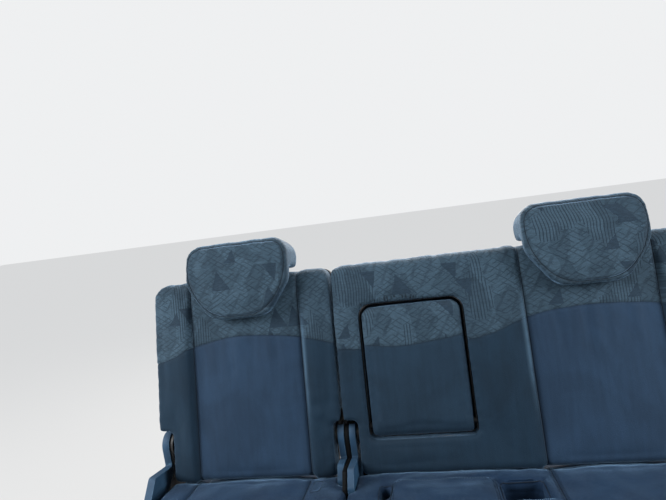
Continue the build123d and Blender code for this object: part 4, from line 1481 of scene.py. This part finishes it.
@dataclass
class Armrest:
    """The fold-down armrest, with the worn, gathered cloth at its top edge."""

    high: float = 0.393

    def gathers(self, chart: np.ndarray) -> np.ndarray:
        """Short pleats below the top edge, deepest left of its middle, and a soft unevenness.

        Args:
            chart: The points' chart distances.

        Returns:
            A rise for each.
        """
        across, along = chart[:, 0], chart[:, 1]
        top = smooth_step(along, self.high - 0.024, self.high - 0.004)
        where = hill(across, -0.005, 0.028) + 0.7 * hill(across, 0.045, 0.018)
        pleats = np.sin(across * 2 * math.pi / 0.0085 + 1.4 * np.sin(across * 90))
        return 0.0014 * pleats * top * where + 0.0006 * Ripple(23, 0.05, 0.06).at(across, along)

    def pad(self) -> SoftPad:
        """The armrest's pad.

        Returns:
            The pad, not yet started.
        """
        between = Seam(ARM_LINE, 0.0014, 0.007, pinned=False, pucker=0.0004)
        return SoftPad(
            "armrest_pad", "armrest", "armrest_cloth", ARM_CLOTH, Face.BACK, voxel=0.006, rounding=3,
            crisp=0.0, inset=0.001, swell=0.0035, edge_swell=0.0026, depth=0.057, seams=(between,),
            wrinkle=self.gathers, fill=0.85,
        )


@dataclass
class Cushions:
    """Both seat cushions, with the raised middle place, hems and stitching."""

    hem_radius: float = 0.0013
    hem_gap: float = 0.004  # hem's middle outside the opening
    stitch_pitch: float = 0.0058
    stitch: float = 0.004  # length of one stitch
    thread: float = 0.00045  # radius

    def settled(self, chart: np.ndarray) -> np.ndarray:
        """Where people have sat: broad, shallow hollows and a few creases near the bite.

        Args:
            chart: The points' chart distances.

        Returns:
            A rise for each.
        """
        across, along = chart[:, 0], chart[:, 1]
        hollows = (hill(across, -0.44, 0.10) + hill(across, 0.43, 0.10)) * hill(along, -0.22, 0.13)
        return 0.0009 * Ripple(29, 0.05, 0.05).at(across, along) - 0.003 * hollows + self.rim(chart)

    def rim(self, chart: np.ndarray) -> np.ndarray:
        """The cloth drawn down into the buckle recess, with a fold out of each corner.

        Args:
            chart: The points' chart distances.

        Returns:
            A rise for each, negative where the cloth is drawn down.
        """
        x, y = chart[:, 0] - RECESS_X, chart[:, 1] - RECESS_Y
        out_x, out_y = np.abs(x) - RECESS_W / 2, np.abs(y) - RECESS_L / 2
        off = np.hypot(np.maximum(out_x, 0), np.maximum(out_y, 0))
        fold = hill(out_x - out_y, 0.0, 0.0035) * (out_x > -0.004) * (1 - smooth_step(off, 0.006, 0.024))
        return -0.005 * hill(off, 0.0, 0.0075) - 0.0022 * fold

    def pads(self) -> list[SoftPad]:
        """The narrow and the wide cushion.

        Returns:
            The two pads, not yet started.
        """
        middle = tuple(rounded_loop(PLATEAU, 0.016, 5))
        common = {"wrinkle": self.settled, "band": 0.030, "depth": 0.085, "crisp": 0.09, "rounding": 6}
        narrow = SoftPad(
            "narrow_cushion", "narrow_base", "cushion_cloth", SEAT_CLOTH, Face.SEAT,
            seams=(fore_and_aft(-INNER_SEAM), fore_and_aft(-OUTER_SEAM)), **common,
        )
        wide = SoftPad(
            "wide_cushion", "wide_base", "cushion_cloth", SEAT_CLOTH, Face.SEAT, swell=0.006, outline=middle,
            seams=(
                fore_and_aft(INNER_SEAM), fore_and_aft(OUTER_SEAM), Seam(middle, 0.003, 0.007, closed=True),
            ), **common,
        )
        return [narrow, wide]

    def hem(self, pad: SoftPad, name: str, middle: Point2, size: Point2, corner: float) -> None:
        """Lays a rolled hem round a pocket's mouth.

        Args:
            pad: The cushion with the pocket.
            name: The piece's name.
            middle: The pocket's middle, from the bite line.
            size: Its width and length.
            corner: Its corners' rounding.
        """
        x, y = middle
        w, l = size[0] / 2 + self.hem_gap, size[1] / 2 + self.hem_gap
        loop = rounded_loop(((x - w, y - l), (x + w, y - l), (x + w, y + l), (x - w, y + l)), corner, 6)
        mesh = tube(pad.lay(loop, -self.hem_radius * 0.4), self.hem_radius, 8, True)
        add_piece(name, mesh, HEM_CLOTH, pad.body)

    def stitches(self, pad: SoftPad, name: str, paths: Sequence[Sequence[Point2]]) -> None:
        """Lays separate stitches of thread along paths on a cushion's top.

        Args:
            pad: The cushion.
            name: The piece's name.
            paths: The paths, from the bite line.
        """
        meshes = []
        for path in paths:
            laid = pad.lay(self.even_steps(path), 0.0002)
            for a, b in zip(laid[::2], laid[1::2]):
                crown = a.lerp(b, 0.5) + pad.face.outward() * 0.0004
                meshes.append(tube([a, crown, b], self.thread, 5, False))
        add_piece(name, joined(meshes, name), HEM_CLOTH, pad.body)

    def even_steps(self, path: Sequence[Point2]) -> list[Point2]:
        """Points along a path, in pairs: the two ends of each stitch.

        Args:
            path: The path.

        Returns:
            The points.
        """
        out, spare = [], 0.0
        for (ax, ay), (bx, by) in zip(path, path[1:]):
            length = math.hypot(bx - ax, by - ay)
            at = spare
            while at + self.stitch < length:
                for end in (at, at + self.stitch):
                    out.append((ax + (bx - ax) * end / length, ay + (by - ay) * end / length))
                at += self.stitch_pitch
            spare = max(at - length, 0.0)
        return out

    def trim(self, narrow: SoftPad, wide: SoftPad) -> None:
        """Adds the hems and the stitching.

        Args:
            narrow: The narrow cushion.
            wide: The wide cushion.
        """
        self.hem(wide, "buckle_recess_hem", (RECESS_X, RECESS_Y), (RECESS_W, RECESS_L), 0.012)
        self.hem(wide, "wide_slot_hem", WIDE_SLOT, WIDE_SLOT_SIZE, 0.008)
        self.hem(narrow, "narrow_slot_hem", NARROW_SLOT, NARROW_SLOT_SIZE, 0.006)
        (left, front), (right, _), (_, rear), _ = PLATEAU
        inside = 0.007
        round_middle = rounded_loop((
            (left + inside, front + inside), (right - inside, front + inside),
            (right - inside, rear - inside), (left + inside, rear - inside),
        ), 0.012, 4)
        beside = [((INNER_SEAM + off, 0.02), (INNER_SEAM + off, -0.40)) for off in (-0.006, 0.006)]
        self.stitches(wide, "wide_cushion_stitching", [round_middle + round_middle[:1], *beside])


@dataclass
class TowerShadeSeal:
    """A strip of near-black foam on the wide half's hinge tower that closes the gap to the narrow one as
    painted shade.
    """

    thick: float = 0.0125
    inset: float = 0.002  # inside the tower's outline
    top: float = 0.032  # radius round the recliner axis
    nose: tuple[Point2, ...] = ((0.3495, 0.0), (0.3785, 0.026), (0.3635, 0.1075))  # z, way behind the front
    heel: tuple[Point2, ...] = ((0.3355, 0.0), (0.2895, 0.0270))  # z, way ahead of the rear
    sole: float = 0.045  # where the bottom starts, ahead of the rear
    edge: float = 0.0015  # over which it widens to its full outline
    gap: float = 0.0002  # from the tower's side

    def build(self) -> None:
        """Makes the strip with the tower's own side, a little smaller."""
        low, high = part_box("wide_hinge_tower")
        front, rear, bottom = low.y + self.inset, high.y - self.inset, low.z + self.inset
        corners = [(front, bottom)] + [(front + back, z) for z, back in self.nose]
        for i in range(13):
            turn = math.pi * (i / 12 - 0.5)
            corners.append((PIVOT_Y + self.top * math.sin(turn), PIVOT_Z + self.top * math.cos(turn)))
        corners += [(rear - ahead, z) for z, ahead in self.heel] + [(rear - self.sole, bottom)]
        loop = rounded_loop(corners, 0.003, 2)
        middle = ((front + rear) / 2, (bottom + high.z) / 2)
        slices = (
            (low.x - self.thick, 0.98), (low.x + self.edge - self.thick, 1.0), (low.x - self.gap, 1.0),
        )
        mesh = slab(loop, middle, slices, "tower_shade_seal")
        add_piece("tower_shade_seal", mesh, SHADE_FOAM, "wide_base")


@dataclass
class TowerShadeFelts:
    """Near-black anti-rattle felt over the round top of each hinge tower, painted shade inside the back's
    notch.
    """

    inner: float = 0.0336
    outer: float = 0.0368
    edge: float = 0.0006  # felt inside the tower's sides
    shoulder: float = 0.0022  # full thickness inside the tower's sides
    start: float = -22.0  # degrees from straight up, negative ahead
    stop: float = 82.0
    steps: int = 28

    def build(self) -> None:
        """Bends a strip round the recliner axis on each tower."""
        for half in ("narrow", "wide"):
            low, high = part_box(f"{half}_hinge_tower")
            rings = []
            for i in range(self.steps + 1):
                turn = math.radians(self.start + (self.stop - self.start) * i / self.steps)
                taper = min(1.0, 0.35 + 0.35 * min(i, self.steps - i))
                thick = (self.outer - self.inner) * taper
                section = (
                    (low.x + self.edge, 0.0), (low.x + self.edge, 0.7), (low.x + self.shoulder, 1.0),
                    (high.x - self.shoulder, 1.0), (high.x - self.edge, 0.7), (high.x - self.edge, 0.0),
                )
                ring = []
                for x, share in section:
                    reach = self.inner + thick * share
                    ring.append((x, PIVOT_Y + reach * math.sin(turn), PIVOT_Z + reach * math.cos(turn)))
                rings.append(ring)
            mesh = lofted(rings, "tower_shade_felt")
            add_piece(f"{half}_tower_shade_felt", mesh, SHADE_FOAM, f"{half}_base")


@dataclass
class ShadeSkirts:
    """Near-black felt wedges behind the cushions that close the gap below the backs as painted shade, clear
    of the backs' swing.
    """

    clear: float = 0.0995  # from the recliner axis
    front: float = 0.2085
    rear: float = 0.246
    foot: float = 0.226
    low: float = 0.262
    waist: float = 0.302
    end: float = 0.636  # outer end, from the bench centre
    narrow_start: float = -0.2038  # inner ends, beside the towers
    wide_start: float = -0.1602
    edge: float = 0.0012  # over which it widens to its full outline

    def build(self) -> None:
        """Makes one for each half, beside its hinge."""
        top = [self.front + (self.rear - self.front) * i / 8 for i in range(9)]
        corners = [(y, PIVOT_Z - math.sqrt(self.clear ** 2 - (y - PIVOT_Y) ** 2)) for y in top]
        corners += [(self.rear, self.waist), (self.foot, self.low), (self.front, self.low)]
        loop = rounded_loop(corners, 0.0015, 2)
        middle = (sum(y for y, _ in loop) / len(loop), sum(z for _, z in loop) / len(loop))
        ends = (("narrow", -self.end, self.narrow_start), ("wide", self.wide_start, self.end))
        for half, start, stop in ends:
            slices = ((start, 0.92), (start + self.edge, 1.0), (stop - self.edge, 1.0), (stop, 0.92))
            mesh = slab(loop, middle, slices, "shade_skirt")
            add_piece(f"{half}_skirt", mesh, SHADE_FOAM, f"{half}_base")


@dataclass(frozen=True)
class SideShadeFelt:
    """A near-black felt strip on a back's inner side, painted shade in the split, whose lower end stays clear
    of the towers as the back folds.
    """

    name: str
    body: str
    root: float  # where it starts, across the bench
    bulge: float  # how far it stands out from there, negative towards the narrow half
    high: float
    front: float
    rear: float
    clear: float = 0.0385  # its lower end's distance from the recliner axis
    steps: int = 24
    sides: int = 12

    def build(self) -> None:
        """Makes a soft-edged strip of rounded section."""
        rings = []
        half = (self.front - self.rear) / 2
        for i in range(self.steps + 1):
            taper = min(1.0, 0.55 + (self.steps - i) * 0.3)
            ring = []
            for k in range(self.sides):
                turn = 2 * math.pi * k / self.sides
                across = self.root + self.bulge * max(0.0, math.cos(turn)) ** 0.5 * taper
                out = (self.front + self.rear) / 2 + half * math.sin(turn) * taper
                ahead = out + FACE_AHEAD
                round_top = math.sqrt(max(self.clear ** 2 - ahead ** 2, 0.0))
                folded = (self.clear - ahead * math.cos(FOLDED)) / math.sin(FOLDED)
                low = PIVOT_UP + max(round_top, folded)
                along = low + (self.high - low) * i / self.steps
                ring.append(Face.BACK.place(across, along, out))
            rings.append(ring)
        add_piece(self.name, lofted(rings, self.name), SHADE_FOAM, self.body)


SIDE_SHADE_FELTS = (
    SideShadeFelt("split_shade_seal", "wide_back", -0.1820, -0.0052, 0.480, -0.010, -0.060),
    SideShadeFelt("narrow_corner_shade_felt", "narrow_back", -0.1985, 0.0076, 0.152, -0.006, -0.060),
    SideShadeFelt("wide_corner_shade_felt", "wide_back", -0.1775, -0.0056, 0.152, -0.006, -0.060),
)


@dataclass
class Frame:
    """The CAD nodes that stay: steel, plastic, lining and carpet."""

    bevel: float = 0.0009

    def dress(self) -> None:
        """Gives every kept node its finish, and its plastic trim and levers a broken edge."""
        slots = {part["node"]: part["material_slot"] for part in frame["record"]["subparts"]}
        for node, slot in slots.items():
            if slot not in CAD_FINISHES:
                continue
            piece = frame["nodes"][node]
            material = NODE_FINISHES.get(node, CAD_FINISHES[slot]).material()
            for held in piece.material_slots:
                held.material = material
            if not piece.material_slots:
                piece.data.materials.append(material)
            if slot in ("trim_plastic", "lever_plastic"):
                self.break_edges(piece)
            LOG.info("%s: %s", node, material.name)

    def break_edges(self, piece: Piece) -> None:
        """Rounds a node's sharp edges a little.

        Args:
            piece: The node.
        """
        weld = piece.modifiers.new("weld", "WELD")
        weld.merge_threshold = 1e-5
        bevel = piece.modifiers.new("broken edge", "BEVEL")
        bevel.width, bevel.segments, bevel.limit_method = self.bevel, 2, "ANGLE"
        bevel.angle_limit = math.radians(40)
        bevel.harden_normals = True


@dataclass(frozen=True)
class Lamp:
    """A soft square lamp."""

    name: str
    place: tuple[float, float, float]
    aim: tuple[float, float, float]
    size: float
    power: float
    colour: Colour = (1.0, 1.0, 1.0)

    def build(self) -> None:
        """Adds the lamp."""
        light = bpy.data.lights.new(self.name, "AREA")
        light.shape, light.size, light.energy, light.color = "SQUARE", self.size, self.power, self.colour
        lamp = linked(self.name, light)
        lamp.location = self.place
        lamp.rotation_mode = "QUATERNION"
        lamp.rotation_quaternion = (Vector(self.aim) - Vector(self.place)).to_track_quat("-Z", "Y")


@dataclass
class Studio:
    """Floor, light and the camera at the photograph's place."""

    camera_place: tuple[float, float, float] = (0.0493, -0.9647, 1.0226)
    yaw: float = 9.948
    pitch: float = -7.044
    roll: float = 8.132
    sensor: float = 36.0
    focal: float = 500 / 666 * 36.0
    floor_gap: float = 0.0005  # floor below the bench's feet
    floor_size: float = 14.0
    lamps: tuple[Lamp, ...] = (
        Lamp("key", (-2.6, -0.9, 1.9), (0.0, 0.1, 0.5), 1.4, 95.0),
        Lamp("fill", (2.6, -0.9, 1.7), (0.1, 0.1, 0.5), 1.4, 70.0),
        Lamp("rear", (0.1, 2.0, 1.75), (0.0, 0.1, 0.8), 1.6, 115.0, (1.0, 0.93, 0.86)),
    )

    def build(self) -> None:
        """Adds everything round the bench."""
        self.floor()
        self.world()
        for lamp in self.lamps:
            lamp.build()
        self.camera()
        bpy.context.scene.view_settings.view_transform = "Standard"

    def floor(self) -> None:
        """A plain pale floor."""
        made = bmesh.new()
        bmesh.ops.create_grid(made, x_segments=8, y_segments=8, size=self.floor_size)
        floor = linked("floor", finished(made, "floor"))
        floor.location.z = -self.floor_gap
        floor.data.materials.append(PaleFloor("pale floor", (0.55, 0.55, 0.54), 0.9).material())

    def world(self) -> None:
        """Even light from all round, and a pale background where the camera sees past the floor."""
        world = bpy.data.worlds.new("studio")
        bpy.context.scene.world = world
        world.use_nodes = True
        graph = Graph(world.node_tree)
        world.node_tree.nodes.clear()
        seen = graph.add("LightPath").outputs["Is Camera Ray"]
        dim = graph.add("Background", {"Color": (1.0, 1.0, 1.0), "Strength": 0.42})
        pale = graph.add("Background", {"Color": (0.86, 0.87, 0.88), "Strength": 1.0})
        both = graph.add("MixShader", {0: seen, 1: dim.outputs[0], 2: pale.outputs[0]})
        graph.add("OutputWorld", {"Surface": both.outputs[0]})

    def camera(self) -> None:
        """The camera, turned as the photograph was taken."""
        yaw, pitch, roll = (math.radians(a) for a in (self.yaw, self.pitch, self.roll))
        ahead = Vector((-math.sin(yaw) * math.cos(pitch), math.cos(yaw) * math.cos(pitch), math.sin(pitch)))
        right = Vector((math.cos(yaw), math.sin(yaw), 0.0))
        up = right.cross(ahead)
        right, up = right * math.cos(roll) - up * math.sin(roll), right * math.sin(roll) + up * math.cos(roll)
        camera = linked("camera", bpy.data.cameras.new("camera"))
        camera.data.lens, camera.data.sensor_width = self.focal, self.sensor
        camera.data.clip_start = 0.02
        turn = Matrix((right, up, -ahead)).transposed().to_4x4()
        camera.matrix_world = Matrix.Translation(self.camera_place) @ turn
        bpy.context.scene.camera = camera


def main() -> None:
    """Builds the bench's pieces in order, then the studio."""
    logging.basicConfig(level=logging.INFO, format="%(message)s")
    backs, heads, arm, cushions = Backs(), Headrests(), Armrest(), Cushions()
    narrow, wide = cushions.pads()
    pads = [*backs.pads(), *heads.pads(), arm.pad(), narrow, wide]
    for pad in pads:
        pad.start()
    swell_all(pads)
    cushions.trim(narrow, wide)
    TowerShadeSeal().build()
    TowerShadeFelts().build()
    ShadeSkirts().build()
    for felt in SIDE_SHADE_FELTS:
        felt.build()
    Frame().dress()
    Studio().build()


if __name__ == "__main__":
    main()
